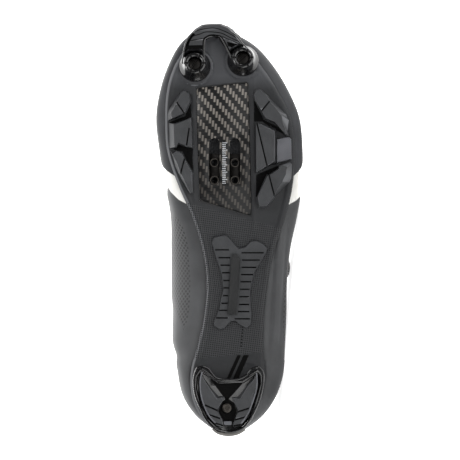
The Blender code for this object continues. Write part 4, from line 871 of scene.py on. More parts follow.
def reliefAt(side, x, y, z, row):
    # Panels, soft troughs and ridges, in metres outwards
    out = 0.0
    counterEdge = upperLook["counterEdge"] - upperLook["counterLean"] * max(0.0, z - 30.0)
    out += upperLook["counterRise"] * (1 - ease(x, counterEdge - 0.9, counterEdge + 0.9)) * ease(row, 0.02,
                                                                                                 0.12)
    if side < 0:
        arch = ease(row, 0.15, 0.5) * (1 - ease(row, 1.2, 1.5))
        out -= 0.0008 * groove(x, 54.0, 4.0) * arch
        out += 0.0006 * groove(x, 65.0, 6.0) * arch
        out -= 0.0005 * groove(x, 84.0, 7.0) * arch * ease(row, 0.5, 0.9)
    else:
        seam = 36.0 + (x - 66.1) * 0.063
        lower = ease(x, 58.0, 66.0) * (1 - ease(x, 146.0, 153.0)) * (1 - ease(row, 1.0, 1.05))
        out -= 0.0006 * groove(y, seam - 1.0, 1.1) * lower
        out += 0.0007 * groove(y, seam - 5.4, 2.2) * lower
        out -= 0.0005 * groove(y, seam - 9.0, 1.6) * lower
    vamp = ease(row, 1.25, 1.55)
    for centre, depth, width in ((188.0, 0.0005, 3.0), (199.0, 0.0008, 3.4), (210.0, 0.0006, 3.2)):
        bow = centre - 0.006 * (y + 4.0) ** 2 * (1 if side > 0 else 0.7)
        out -= depth * groove(x, bow, width) * vamp
        out += 0.5 * depth * groove(x, bow + 1.6 * width, width) * vamp
    return out


def upperAngles(look):
    heel, toe = ridgeEnds
    front = angleOf((last["throatFront"] - heel) / (toe - heel))
    angles = [front * i / look["rearAngles"] for i in range(look["rearAngles"])]
    for back in (0.9, 0.72, 0.5, 0.35, 0.2, 0.08, 0.02):
        angles.append(angleOf((last["throatFront"] - last["throatFrontHalf"] * back - heel) / (toe - heel)))
    angles += [front + (pi - front) * i / look["frontAngles"] for i in range(look["frontAngles"] + 1)]
    return sorted(set(angles))


def shellObject(name, angles, outerRows, innerRows, outerAt, innerAt, joinedAt, rimCount, fieldsAt=None):
    # Closed shell: outer surface, rounded rim where it is open, inner surface
    work = bmesh.new()
    layers = {}
    if fieldsAt:
        layers = {key: work.verts.layers.float.new(key) for key in ("bandField", "holeField")}
        layers["girthMm"] = work.verts.layers.float_vector.new("girthMm")
    grid = {}
    lastColumn = len(angles) - 1
    joined = [joinedAt(theta) for theta in angles]
    firstJoined = joined.index(True) if True in joined else lastColumn + 1
    outerTotal = len(outerRows(angles[0]))
    innerTotal = len(innerRows(angles[0]))

    def keyOf(i, j, side, topRow):
        middle = angles[i] < 1e-6 or angles[i] > pi - 1e-6 or (topRow and joined[i])
        return (i, j, 0 if middle else side)

    for side in (-1, 1):
        for i, theta in enumerate(angles):
            angle = side * theta
            girth, before = 0.0, None
            outers, inners = [], []
            for j, row in enumerate(outerRows(angle)):
                point = outerAt(angle, row)
                if before is not None:
                    girth += (point - before).length * 1000
                before = point
                key = keyOf(i, j, side, j == outerTotal - 1)
                if key not in grid:
                    vert = grid[key] = work.verts.new(point)
                    if fieldsAt:
                        band, hole = fieldsAt(side, angle, row, point)
                        vert[layers["bandField"]] = band
                        vert[layers["holeField"]] = hole
                        vert[layers["girthMm"]] = Vector((point.x * 1000, girth, row))
                outers.append(point)
            for j, row in enumerate(innerRows(angle)):
                point = innerAt(angle, row)
                key = keyOf(i, outerTotal + rimCount + j, side, j == innerTotal - 1)
                if key not in grid:
                    vert = grid[key] = work.verts.new(point)
                    if fieldsAt:
                        vert[layers["bandField"]] = -9.0
                        vert[layers["holeField"]] = -9.0
                inners.append(point)
            if i <= firstJoined:
                middle = (outers[-1] + inners[-1]) / 2
                radius = (outers[-1] - inners[-1]) / 2
                tip = (outers[-1] - outers[-2]).normalized()
                if joined[i]:
                    tip = Vector((-1.0, 0.0, 0.0))
                for k in range(rimCount):
                    turn = pi * (k + 1) / (rimCount + 1)
                    key = keyOf(i, outerTotal + k, side, True)
                    if key not in grid:
                        bulge = tip * radius.length * 0.8 * sin(turn)
                        vert = grid[key] = work.verts.new(middle + radius * cos(turn) + bulge)
                        if fieldsAt:
                            vert[layers["bandField"]] = -9.0
                            vert[layers["holeField"]] = -9.0

    def face(corners, index):
        verts = []
        for corner in corners:
            if grid[corner] not in verts:
                verts.append(grid[corner])
        if len(verts) > 2:
            made = work.faces.new(verts)
            made.material_index = index

    innerBase = outerTotal + rimCount
    for side in (-1, 1):
        for i in range(lastColumn):
            def at(column, j, top):
                return keyOf(column, j, side, top)

            for j in range(outerTotal - 1):
                tops = (j == outerTotal - 1, j + 1 == outerTotal - 1)
                face([at(i, j, tops[0]), at(i + 1, j, tops[0]), at(i + 1, j + 1, tops[1]),
                      at(i, j + 1, tops[1])], 0)
            for j in range(innerTotal - 1):
                tops = (j == innerTotal - 1, j + 1 == innerTotal - 1)
                face([at(i, innerBase + j, tops[0]), at(i + 1, innerBase + j, tops[0]),
                      at(i + 1, innerBase + j + 1, tops[1]), at(i, innerBase + j + 1, tops[1])], 1)
            face([at(i, 0, False), at(i + 1, 0, False), at(i + 1, innerBase, False), at(i, innerBase, False)],
                 1)
            if i < firstJoined:
                chain = [outerTotal - 1 + k for k in range(rimCount + 1)] + [innerBase + innerTotal - 1]
                for a, b in zip(chain, chain[1:]):
                    face([at(i, a, True), at(i + 1, a, True), at(i + 1, b, True), at(i, b, True)], 1)
    return meshObject(name, work)


def makeUpper():
    look = upperLook
    angles = upperAngles(look)

    def rowsTo(edge, lower, upper):
        rows = [-1.0] + [-0.5] + [k / lower for k in range(lower + 1)]
        return rows + [1 + (edge - 1) * k / upper for k in range(1, upper + 1)]

    def edgeAt(angle):
        edge = edgeRow(angle)
        return edge if edge >= 2.0 else edge - 0.022

    def outerRows(angle):
        return rowsTo(edgeAt(angle), look["lowerRows"], look["upperRows"])

    def innerRows(angle):
        return rowsTo(edgeAt(angle), 10, 16)

    def outerAt(angle, row):
        base = -guardStep(abs(angle))
        if row <= 0:
            return upperPoint(angle, row, base)
        place = upperPoint(angle, row, base) * 1000
        side = 1 if angle >= 0 else -1
        seam = min(ease(abs(angle), 0.0, 0.08), ease(pi - abs(angle), 0.0, 0.08))
        relief = reliefAt(side, place.x, place.y, place.z, row)
        return upperPoint(angle, row, base + relief * (0.4 + 0.6 * seam))

    def innerAt(angle, row):
        return upperPoint(angle, row, -guardStep(abs(angle)) - wallAt(angle, row))

    def fieldsAt(side, angle, row, point):
        place = point * 1000
        wideHeight = (plateTop(sectionOf(angle)[2].x) + sectionOf(angle)[4]) * 1000
        return (bandFieldAt(side, place.x, place.y, place.z, row, wideHeight),
                holeFieldAt(side, place.x, place.y, place.z, row))

    obj = shellObject("upperWork", angles, outerRows, innerRows, outerAt, innerAt,
                      lambda theta: edgeRow(theta) >= 2.0, look["rimRows"], fieldsAt)
    return settled(obj, "upperShell", (finish["microfibre"], finish["lining"]), "upper_shell", ("upper",), 1.2)


makeUpper()
print("stage 3: upper")


# Rand: smooth rubber round the forefoot, thinned and rounded at its upper edge

randLook = {"columns": 120, "rows": 34, "start": 0.640}


def makeRand():
    start = angleOf(randLook["start"])
    angles = [start + (pi - start) * i / randLook["columns"] for i in range(randLook["columns"] + 1)]

    def rowsAt(angle):
        top = guardEdge(abs(angle))
        return [-1.0, -0.5] + [top * k / randLook["rows"] for k in range(randLook["rows"] + 1)]

    def outerAt(angle, row):
        top = guardEdge(abs(angle))
        fade = ease(row, top - 0.10, top) if top > 0.2 else 0.0
        rear = 1 - ease(abs(angle), start, start + 0.02)
        out = -last["guardWall"] * 0.75 * max(fade, 0.8 * rear)
        return upperPoint(angle, row, out)

    def innerAt(angle, row):
        return upperPoint(angle, row, -last["guardWall"] - 0.0002)

    obj = shellObject("randWork", angles, rowsAt, rowsAt, outerAt, innerAt, lambda theta: False, 3)
    work = bmesh.new()
    work.from_mesh(obj.data)
    bmesh.ops.holes_fill(work, edges=[edge for edge in work.edges if edge.is_boundary])
    for face in work.faces:
        face.material_index = 0
    bmesh.ops.recalc_face_normals(work, faces=work.faces)
    work.to_mesh(obj.data)
    work.free()
    return settled(obj, "toeRand", (finish["rand"],), "guard_rubber", ("toe_guard",), 1.0)


makeRand()
print("stage 4: rand")


# Sole plate: moulded nylon, with a soft bead round its foot, a window and low relief underneath

soleLook = {"stations": 260, "across": 72, "windowBead": 0.0005, "studGroove": 0.0122, "grooveWidth": 0.0006,
            "grooveDepth": 0.0007}
studPlaces = {"medial": (0.8990 * last["length"], -0.0236), "lateral": (0.9127 * last["length"], 0.0092)}
windowCorners = [(0.8486, -0.230), (0.8625, 0.129), (0.5330, 0.153), (0.5725, -0.207)]
windowCorners = [Vector((x * last["length"], y * last["ballWidth"])) for x, y in windowCorners]


def soleReliefAt(x, y):
    # Downwards relief in metres: grooves round the studs, soft lines round the heel and the shank
    drop = 0.0
    for place in studPlaces.values():
        away = sqrt((x - place[0]) ** 2 + (y - place[1]) ** 2)
        drop -= soleLook["grooveDepth"] * groove(away, soleLook["studGroove"], soleLook["grooveWidth"])
    if x < 0.075:
        for bow in (0.0515, 0.0590):
            line = bow - 10.0 * y * y
            drop += 0.0004 * groove(x, line, 0.0011)
    if 0.14 < x < 0.25:
        for side, edge in ((-1, -0.0245 - 0.01 * (x - 0.19)), (1, 0.0165)):
            drop += 0.0003 * groove(y, edge, 0.0010)
    return drop


def ringLoop(work, angles, ring, inset, heightAt):
    loop = []
    for angle in [-theta for theta in angles] + list(reversed(angles))[1:-1]:
        flat = ringOffset(ring, angle, -inset)
        loop.append(work.verts.new((flat.x, flat.y, heightAt(flat.x))))
    return loop


def ringObject(name, angles, ring, levels, across=0, reliefAt=None):
    # Closed rings at several insets and heights; the first and last are filled across
    work = bmesh.new()
    loops = [ringLoop(work, angles, ring, inset, heightAt) for inset, heightAt in levels]
    total = len(loops[0])
    for low, high in zip(loops, loops[1:]):
        for i in range(total):
            j = (i + 1) % total
            work.faces.new((low[i], low[j], high[j], high[i]))
    end = len(angles) - 1
    for loop, steps in ((loops[0], across), (loops[-1], 0)):
        rows = []
        for i in range(1, end):
            a, b = loop[i], loop[-i]
            row = [a]
            for k in range(1, steps):
                place = a.co.lerp(b.co, k / steps)
                if reliefAt:
                    fade = ease(min(k, steps - k), 0, 4)
                    place.z -= reliefAt(place.x, place.y) * fade
                row.append(work.verts.new(place))
            rows.append(row + [b])
        for a, b in zip(rows, rows[1:]):
            for k in range(len(a) - 1):
                work.faces.new((a[k], b[k], b[k + 1], a[k + 1]))
        for tip, row in ((loop[0], rows[0]), (loop[end], rows[-1])):
            for k in range(len(row) - 1):
                work.faces.new((tip, row[k], row[k + 1]))
    return meshObject(name, work)


def makeSole():
    count = soleLook["stations"]
    angles = [pi * i / count for i in range(count + 1)]
    levels = [(inset, lambda x, share=share: plateBottom(x) + last["plate"] * share) for inset,
              share in rimTable]
    sole = ringObject("soleWork", angles, "plate", levels, soleLook["across"], soleReliefAt)
    sole.data.materials.append(finish["nylon"])
    window = prismObject([(p.x, p.y) for p in windowCorners], -0.01, 0.05)
    cut(sole, window, finish["frameNylon"])
    settled(sole, "solePlate", (finish["nylon"],), "sole_plate", ("outsole",), 0.5)
    points = smoothedCorners(windowCorners, 0.003, 5)
    bead = beadObject("beadWork", [Vector((p.x, p.y, plateBottom(p.x) + 0.0001)) for p in points],
                      soleLook["windowBead"], True, 8, 0.7)
    settled(bead, "windowBead", (finish["frameNylon"],), "sole_plate")


def smoothedCorners(corners, radius, steps):
    result = []
    count = len(corners)
    for i, corner in enumerate(corners):
        before = (corners[i - 1] - corner).normalized() * radius
        after = (corners[(i + 1) % count] - corner).normalized() * radius
        for k in range(steps + 1):
            t = k / steps
            result.append((corner + before) * (1 - t) ** 2 + corner * 2 * t * (1 - t)
                          + (corner + after) * t * t)
    return result


makeSole()


carbonLook = {
    "recess": 0.0008, "edge": 0.0003, "nutEdge": 0.0002, "rimRadius": 0.0027, "rimWire": 0.00035,
    "nutRims": ((186.2, -10.4), (174.2, -10.4), (186.2, 3.6), (174.2, 3.6)),
    "ticks": 23, "tickFrom": 199.9, "tickPitch": 1.25, "tickSide": -5.0, "tickLong": 3.4, "tickShort": 2.4,
    "tickWidth": 0.45, "tickLift": 0.00006,
}


def makeCarbon():
    plate = copyOf("carbon_plate", finish["carbon"])
    rounded(plate, carbonLook["edge"], 2)
    settled(plate, "carbonPlate", (finish["carbon"],), "carbon", ("carbon_plate",), 0.5)
    nut = copyOf("cleat_nut_plate", finish["darkSteel"])
    rounded(nut, carbonLook["nutEdge"], 2)
    settled(nut, "cleatNutPlate", (finish["darkSteel"],), "steel", ("cleat_nut_plate",), 0.5)
    nutBox = [worldToShoe @ vert.co for vert in frame["nodes"]["cleat_nut_plate"].data.vertices]
    low = min(vert.z for vert in nutBox)
    radius = carbonLook["rimRadius"]
    for k, (x, y) in enumerate(carbonLook["nutRims"]):
        ring = [Vector((x / 1000 + radius * cos(t * pi / 16), y / 1000 + radius * sin(t * pi / 16),
                        low - 0.0001))
                for t in range(32)]
        settled(beadObject("ring", ring, carbonLook["rimWire"], True, 8), "nutRim%d" % k, (finish["steel"],),
                "steel")
    # Printed scale between the slots
    side, width = carbonLook["tickSide"], carbonLook["tickWidth"]
    for k in range(carbonLook["ticks"]):
        x = carbonLook["tickFrom"] - carbonLook["tickPitch"] * k
        end = side + (carbonLook["tickLong"] if k % 4 == 0 else carbonLook["tickShort"])
        corners = ((x, side), (x, end), (x - width, end), (x - width, side))
        patch = prismObject([(a / 1000, b / 1000) for a, b in corners],
                            lambda x: plateBottom(x) + carbonLook["recess"] - carbonLook["tickLift"],
                            lambda x: plateBottom(x) + carbonLook["recess"] + 0.0003)
        settled(patch, "scaleTick%02d" % k, (finish["ink"],), "carbon", (), 0.5)


makeCarbon()
print("stage 5: sole plate and carbon window")


# Treads: rubber blocks with soft edges, thin sipes and dark recesses: painted shade, as near-black sipe walls
# and black patches on the plate between the lugs

treadLook = {
    "edge": 0.0005, "sipeDepth": 0.0010, "sipeWidth": 1.0, "platformReach": 0.0024, "platformDrop": 0.0006,
    "sipes": {
        "tread_medial_front": ((229.4, -37.6, 218.4, -29.9), (215.0, -30.2, 208.0, -26.6)),
        "tread_medial_middle": ((209.6, -27.5, 196.6, -29.4),),
        "tread_medial_rear": ((189.2, -30.5, 174.9, -34.3),),
        "tread_lateral_front": ((220.2, 21.0, 230.0, 29.0),),
        "tread_lateral_middle": ((214.5, 18.2, 181.6, 26.0),),
        "tread_lateral_rear": ((178.6, 26.6, 163.2, 30.6),),
    },
    # Black patches on the plate between the lugs: painted shade in the gaps
    "valleys": {
        "MedialFront": ((226.8, -26.5), (218.6, -26.2), (218.0, -30.2)),
        "MedialSlot": ((219.4, -26.0), (215.4, -37.1), (213.4, -42.2), (211.7, -41.4), (213.2, -35.9),
                       (217.4, -26.0)),
        "MedialMiddle": ((198.6, -37.5), (196.9, -25.0), (180.6, -24.7), (185.6, -28.0), (193.9, -32.1),
                         (194.9, -38.0)),
        "LateralFront": ((229.2, 16.6), (214.2, 16.6), (214.2, 23.8)),
        "LateralSlot": ((215.7, 22.8), (211.8, 30.6), (206.3, 39.6), (204.6, 38.3), (209.6, 29.6),
                        (213.7, 22.8)),
        "LateralRear": ((184.0, 32.8), (177.8, 18.3), (162.4, 18.0), (175.2, 25.5), (182.2, 33.4)),
    },
}


def plateObject(name, points, finishName, drop=0.00035, slotName="tread_rubber"):
    # A thin patch that lies on the plate, outline in millimetres
    points = smoothedCorners([Vector(point) / 1000 for point in points], 0.0005, 2)
    patch = prismObject([(p.x, p.y) for p in points], lambda x: plateBottom(x) - drop,
                        lambda x: plateBottom(x) + 0.0006)
    return settled(patch, name, (finish[finishName],), slotName, (), 0.5)


def ribbonObject(points, width, low, high):
    # A closed strip that follows a line of points in millimetres
    points = [Vector(point) / 1000 for point in points]
    left, right = [], []
    for i, point in enumerate(points):
        along = (points[min(i + 1, len(points) - 1)] - points[max(i - 1, 0)]).normalized()
        side = Vector((-along.y, along.x)) * width / 2000
        left.append(point + side)
        right.append(point - side)
    return prismObject([(p.x, p.y) for p in left + right[::-1]], low, high)


def makeTreads():
    for node in ("tread_medial_front", "tread_medial_middle", "tread_medial_rear", "tread_lateral_front",
                 "tread_lateral_middle", "tread_lateral_rear", "tread_lateral_platform"):
        rubber = "platform" if node.endswith("platform") else "tread"
        tread = copyOf(node, finish[rubber])
        if rubber == "platform":
            for vert in tread.data.vertices:
                vert.co.y -= treadLook["platformReach"] * ease(-vert.co.y, -0.0395, -0.0360)
                vert.co.z -= treadLook["platformDrop"] if vert.co.z < plateBottom(vert.co.x) - 0.0012 else 0.0
        rounded(tread, treadLook["edge"], 2, 0.45)
        lines = treadLook["sipes"].get(node, ())
        if lines:
            lines = [(*line, treadLook["sipeWidth"]) for line in lines]
            # The sipes' walls are near black: painted shade in the cuts
            cut(tread,
                strokes(lines, lambda x: ground(x) - 0.002, lambda x: ground(x) + treadLook["sipeDepth"]),
                finish["recess"])
        words = node.split("_")
        name = words[0] + "".join(word.capitalize() for word in words[1:])
        settled(tread, name, (finish[rubber],), "tread_rubber", (node,), 0.6)
    for name, points in treadLook["valleys"].items():
        plateObject("valley" + name, points, "recess")


makeTreads()
print("stage 6: treads")


# Toe: rubber arch with two studs, and a gloss bead on the plate inside it

toeLook = {
    "edge": 0.0006, "tipReach": 0.0016, "wrapHalf": 0.0185, "wrapTaper": 0.0017, "lineDepth": 0.0006,
           "lineWidth": 0.55,
    "notchDepth": 0.0016, "wrapCentre": (0.245, -0.011), "channelWidth": 2.6, "channelDepth": 0.0008,
           "beadLift": 0.35,
    "lines": (((274.6, -25.8), (276.7, -21.5), (278.3, -11.8), (276.7, -5.0), (273.3, 1.8), (269.6, 8.0)),
              ((272.0, -27.4), (274.0, -20.5), (275.6, -15.7), (274.8, -6.0), (271.9, -0.1), (266.8, 10.4)),
              ((269.2, -28.4), (271.1, -17.8)), ((272.4, -5.0), (264.6, 12.4))),
    "notches": (((266.2, -29.4), (266.4, -18.6), (263.6, -18.6), (263.3, -30.2)),
                ((268.8, -2.0), (265.4, 12.0), (263.6, 6.0), (265.6, -1.0))),
    "beads": {
        "Inner": (0.00050,
                  ((256.4, -17.2), (268.9, -17.1), (271.4, -15.4), (272.6, -12.4), (272.2, -9.0), (270.6, -5.4),
                   (257.6, 1.2))),
        "Medial": (0.00050, ((253.4, -32.3), (261.0, -31.4), (267.0, -30.2), (271.9, -28.0), (275.2, -25.2))),
        "Lateral": (0.00050, ((257.6, 16.4), (262.6, 13.6), (267.4, 8.9), (272.4, 5.2), (275.4, 1.4))),
    },
    "channels": (
        ((256.4, -17.2), (268.9, -17.1), (271.4, -15.4), (272.6, -12.4), (272.2, -9.0), (270.6, -5.4),
         (257.6, 1.2)),
        ((257.4, -30.9), (267.0, -29.0), (271.4, -27.2), (274.6, -24.4)),
    ),
}


def makeToe():
    look = toeLook
    tread = copyOf("toe_tread", finish["tread"])
    for vert in tread.data.vertices:
        place = vert.co
        if place.z > plateBottom(place.x) + 0.0005:
            # The wrap up the front thins out towards its ends
            away = Vector((place.x - look["wrapCentre"][0], place.y - look["wrapCentre"][1])).normalized()
            thin = look["wrapTaper"] * ease(abs(place.y - look["wrapCentre"][1]) / look["wrapHalf"], 0.60, 1.0)
            place.x -= away.x * thin
            place.y -= away.y * thin
        place.x += look["tipReach"] * ease(place.x, 0.2735, 0.2790)
    rounded(tread, look["edge"], 2, 0.6)
    # Notches, lines and channels are cut with near-black walls: painted shade in the grooves
    for points in look["notches"]:
        points = [Vector(point) / 1000 for point in points]
        cut(tread, prismObject([(p.x, p.y) for p in points], lambda x: ground(x) - 0.003,
                               lambda x: ground(x) + look["notchDepth"]), finish["recess"])
    for points in look["lines"]:
        line = [Vector((*point, 0.0)) for point in points]
        line = [(p.x, p.y) for p in (smoothPath(line, steps=3) if len(line) > 2 else line)]
        cut(tread, ribbonObject(line, look["lineWidth"], lambda x: ground(x) - 0.003,
                                lambda x: ground(x) + look["lineDepth"]), finish["recess"])
    for points in look["channels"]:
        line = [(p.x, p.y) for p in smoothPath([Vector((*point, 0.0)) for point in points], steps=3)]
        cut(tread,
            ribbonObject(line, look["channelWidth"], lambda x: ground(x) - 0.003,
                         lambda x: ground(x) + look["channelDepth"]), finish["recess"])
    settled(tread, "toeTread", (finish["tread"],), "tread_rubber", ("toe_tread",), 0.7)
    for name, (radius, points) in look["beads"].items():
        path = [Vector((x, y, 1000 * ground(x / 1000) + look["beadLift"])) / 1000 for x, y in points]
        bead = beadObject("bead", smoothPath(path, steps=3), radius, False, 10)
        settled(bead, "toeBead" + name, (finish["tpu"],), "gloss_tpu")


makeToe()


def soleSlope(x):
    return Vector((0.01, 0.0, plateBottom(x + 0.005) - plateBottom(x - 0.005))).normalized()


def studFrame(place):
    forward = soleSlope(place[0])
    normal = forward.cross(Vector((0.0, 1.0, 0.0))).normalized()
    if normal.z > 0:
        normal = -normal
    return frameAt(Vector((place[0], place[1], plateBottom(place[0]))) + normal * 2 * last["gap"], forward,
                   normal)


def blockObject(size, matrix):
    work = bmesh.new()
    bmesh.ops.create_cube(work, size=1.0)
    bmesh.ops.scale(work, verts=work.verts, vec=size)
    bmesh.ops.transform(work, matrix=matrix, verts=work.verts)
    return meshObject("block", work)


studLook = {"base": 0.0107, "ring": 0.0073, "height": 0.0100, "hole": 0.0047, "holeDepth": 0.0060,
            "plug": 0.0043, "plugHeight": 0.0030, "steps": 64, "notches": 3,
            "slotTurn": {"medial": 1.05, "lateral": 0.75}}


def makeStuds():
    look = studLook
    floorHeight = look["height"] - look["holeDepth"]
    for side, place in studPlaces.items():
        matrix = studFrame(place)
        profile = [(0.0, floorHeight), (look["hole"], floorHeight), (look["hole"], look["height"] - 0.0009)]
        profile += [(look["hole"] + 0.0009 * (1 - cos(t * pi / 8)),
                     look["height"] - 0.0009 + 0.0009 * sin(t * pi / 8)) for t in range(1, 5)]
        profile += [(look["ring"] - 0.0009 + 0.0009 * sin(t * pi / 8),
                     look["height"] - 0.0009 + 0.0009 * cos(t * pi / 8)) for t in range(0, 5)]
        profile += [(look["ring"] + 0.0007, look["height"] - 0.0030), (look["base"] - 0.0012, 0.0030),
                    (look["base"] - 0.0002, 0.0020),
                    (look["base"], 0.0014), (look["base"], 0.0), (0.0, 0.0)]
        boss = lathed(profile, look["steps"], matrix)
        boss.data.materials.append(finish["tpu"])
        for k in range(look["notches"]):
            turn = Matrix.Rotation(pi * (k + 0.5) / look["notches"], 4, "Z")
            notch = blockObject((3 * look["ring"], 0.0013, 0.0016),
                                matrix @ turn @ Matrix.Translation((0.0, 0.0, look["height"])))
            cut(boss, notch)
        settled(boss, "stud" + side.capitalize(), (finish["tpu"],), "gloss_tpu", ("stud_base_" + side,), 0.5)
        seat = floorHeight + last["gap"]
        top = seat + look["plugHeight"]
        plug = lathed([(0.0, top), (look["plug"] - 0.0008, top), (look["plug"] - 0.0002, top - 0.0003),
                       (look["plug"], top - 0.0008),
                       (look["plug"], seat), (0.0, seat)], 48, matrix)
        plug.data.materials.append(finish["darkSteel"])
        slot = matrix @ Matrix.Rotation(look["slotTurn"][side], 4, "Z") @ Matrix.Translation((0.0, 0.0, top))
        cut(plug, blockObject((0.0012, 3 * look["plug"], 0.0024), slot))
        settled(plug, "studPlug" + side.capitalize(), (finish["darkSteel"],), "steel", ("stud_plug_" + side,),
                0.5)


makeStuds()
print("stage 7: toe and studs")


# Shank pad: low rubber waist with ten sipes each side of a plain strip

padLook = {
    "edge": 0.0008, "width": 0.95, "depth": 0.0010, "height": 0.0020,
    # x of each sipe, then its two ends across
    "medial": ((126.6, -9.9, -0.4), (121.2, -7.6, 0.4), (116.1, -6.2, 0.4), (110.9, -5.2, 0.2),
               (105.6, -4.4, 0.0), (100.5, -4.2, -0.4),
               (95.2, -4.5, -1.0), (90.0, -5.6, -1.2), (85.2, -7.2, -1.6), (80.0, -9.2, -1.2)),
    "lateral": ((124.6, 8.2, 23.4), (119.6, 8.4, 20.8), (114.6, 8.2, 18.4), (109.6, 7.8, 16.2),
                (104.7, 7.4, 14.8), (99.6, 7.0, 13.8),
                (94.5, 6.6, 13.4), (89.2, 6.4, 13.4), (84.3, 5.8, 13.6), (79.4, 3.4, 14.0)),
    "strip": ((82.4, -1.2), (122.4, 1.4), (124.2, 4.4), (120.8, 7.2), (82.4, 4.7)), "stripDepth": 0.0006,
    # behind the pad: two strokes with their half widths, then the pits' count, first place, step and radius
    "strokes": ((54.6, 6.6, 38.8, -0.6, 1.2), (54.6, 11.4, 38.8, 4.2, 1.8)), "strokeLift": 0.0009,
    "pits": 8, "pitFrom": (74.0, 9.2), "pitStep": (2.2, 0.22), "pitRadius": 0.55, "pitLift": 0.0002,
}


def makePad():
    pad = copyOf("arch_pad", finish["tread"])
    rounded(pad, padLook["edge"], 3, 0.5)

    def low(x):
        return plateBottom(x) - last["gap"] - padLook["height"]

    lines = [(x, near, x, far, padLook["width"]) for side in ("medial", "lateral") for x, near,
             far in padLook[side]]
    # The sipes' walls are near black: painted shade in the cuts
    cut(pad, strokes(lines, lambda x: low(x) - 0.002, lambda x: low(x) + padLook["depth"]), finish["recess"])
    strip = [(x / 1000, y / 1000) for x, y in padLook["strip"]]
    cut(pad, prismObject(strip, lambda x: low(x) - 0.002, lambda x: low(x) + padLook["stripDepth"]),
        finish["frameNylon"])
    settled(pad, "archPad", (finish["tread"],), "tread_rubber", ("arch_pad",), 0.6)
    # Two dark strokes on the plate behind the pad, and the row of pits that leads to them, as near-black
    # patches: painted shade in the pits
    for k, (x0, y0, x1, y1, half) in enumerate(padLook["strokes"]):
        plateObject("plateStroke" + "AB"[k],
                    ((x0, y0 - half), (x0, y0 + half), (x1, y1 + half), (x1, y1 - half)), "recess",
                    padLook["strokeLift"], "sole_plate")
    radius = padLook["pitRadius"]
    for k in range(padLook["pits"]):
        x, y = (first - step * k for first, step in zip(padLook["pitFrom"], padLook["pitStep"]))
        points = [(x + radius * cos(t * pi / 3), y + radius * sin(t * pi / 3)) for t in range(6)]
        plateObject("platePit%d" % k, points, "recess", padLook["pitLift"], "sole_plate")


makePad()


# Heel: gloss frame, two rubber wings with sipes, and a screw in a dark pocket

heelLook = {
    "edge": 0.0005, "sipe": 1.1, "depth": 0.0012, "floor": 0.0048, "frameEdge": 0.0007, "screwX": 0.0676,
            "screwY": -0.0018,
    "screwHead": 0.0022, "screwRadius": 0.0034,
    "sipes": {
        "heel_pad_medial": ((22.4, -19.6, 16.9, -7.0), (15.9, -17.9, 12.0, -6.4), (10.0, -14.2, 7.2, -4.4)),
        "heel_pad_lateral": ((16.4, 5.2, 19.6, 15.2), (11.0, 3.2, 13.6, 13.2), (6.4, 0.6, 8.6, 10.4)),
    },
}


def makeHeel():
    frameWork = copyOf("heel_frame", finish["tpu"])
    rounded(frameWork, heelLook["frameEdge"], 3, 0.6)
    settled(frameWork, "heelFrame", (finish["tpu"],), "gloss_tpu", ("heel_frame",), 0.6)
    for node, lines in heelLook["sipes"].items():
        pad = copyOf(node, finish["tread"])
        rounded(pad, heelLook["edge"], 2, 0.5)
        lines = [(*line, heelLook["sipe"]) for line in lines]
        # The sipes' walls are near black: painted shade in the cuts
        cut(pad, strokes(lines, lambda x: ground(x) - 0.002, lambda x: ground(x) + heelLook["depth"]),
            finish["recess"])
        settled(pad, "heelPad" + node.split("_")[-1].capitalize(), (finish["tread"],), "tread_rubber", (node,),
                0.6)
    place = Vector((heelLook["screwX"] * last["length"], heelLook["screwY"], heelLook["floor"] - last["gap"]))
    down = frameAt(place, Vector((1.0, 0.0, 0.0)), Vector((0.0, 0.0, -1.0)))
    head, radius = heelLook["screwHead"], heelLook["screwRadius"]
    profile = [(0.0, 0.4 * head), (0.45 * radius, 0.4 * head), (0.48 * radius, 0.95 * head),
               (0.55 * radius, head), (0.72 * radius, head),
               (0.90 * radius, 0.85 * head), (radius, 0.6 * head), (radius, 0.0), (0.0, 0.0)]
    screw = lathed(profile, 48, down)
    settled(screw, "heelScrew", (finish["steel"],), "steel", ("heel_screw",), 0.5)


heelTrim = {
    "floorPatch": ((38.6, -13.0), (36.4, -7.4), (36.4, 5.1), (39.0, 12.0), (24.4, -1.2), (24.4, -2.6)),
    "screwPocket": ((26.0, -1.8), (22.4, 3.0), (16.7, 4.6), (9.3, 2.4), (9.3, -4.0), (16.7, -7.8),
                    (22.4, -5.7)),
    "screwBlock": ((9.9, -4.0), (9.9, 1.5), (7.4, 1.2), (7.4, -3.5)),
    "beads": {
        "Outer": (0.0008,
                  ((47.0, -18.6), (45.6, -22.2), (38.2, -24.3), (28.0, -23.3), (19.0, -19.8), (11.0, -15.6),
                   (5.0, -9.6), (2.6, -0.8),
                           (5.0, 8.2), (10.5, 13.4), (21.2, 18.9), (32.6, 22.2), (42.0, 22.9), (46.4, 20.4),
                   (46.6, 18.0),
                           (45.2, 14.9), (41.4, 11.5), (38.6, 5.2), (38.6, -6.8), (41.0, -10.9),
                   (45.6, -14.6))),
    },
    "wingHighlights": {
        "Medial": ((43.6, -18.6), (37.1, -20.0), (25.8, -18.9), (15.0, -14.6), (9.0, -9.6)),
        "Lateral": ((43.0, 18.4), (32.6, 18.4), (19.0, 14.1), (12.0, 10.4), (8.6, 7.6)),
    },
    "backBumper": ((5.2, -11.2), (2.2, -7.4), (0.9, -0.8), (2.0, 5.6), (4.8, 10.2)),
}


def flatPatch(name, points, low, high, finishName, slotName):
    points = smoothedCorners([Vector(point) / 1000 for point in points], 0.0006, 3)
    settled(prismObject([(p.x, p.y) for p in points], low, high), name, (finish[finishName],), slotName, (),
            0.5)


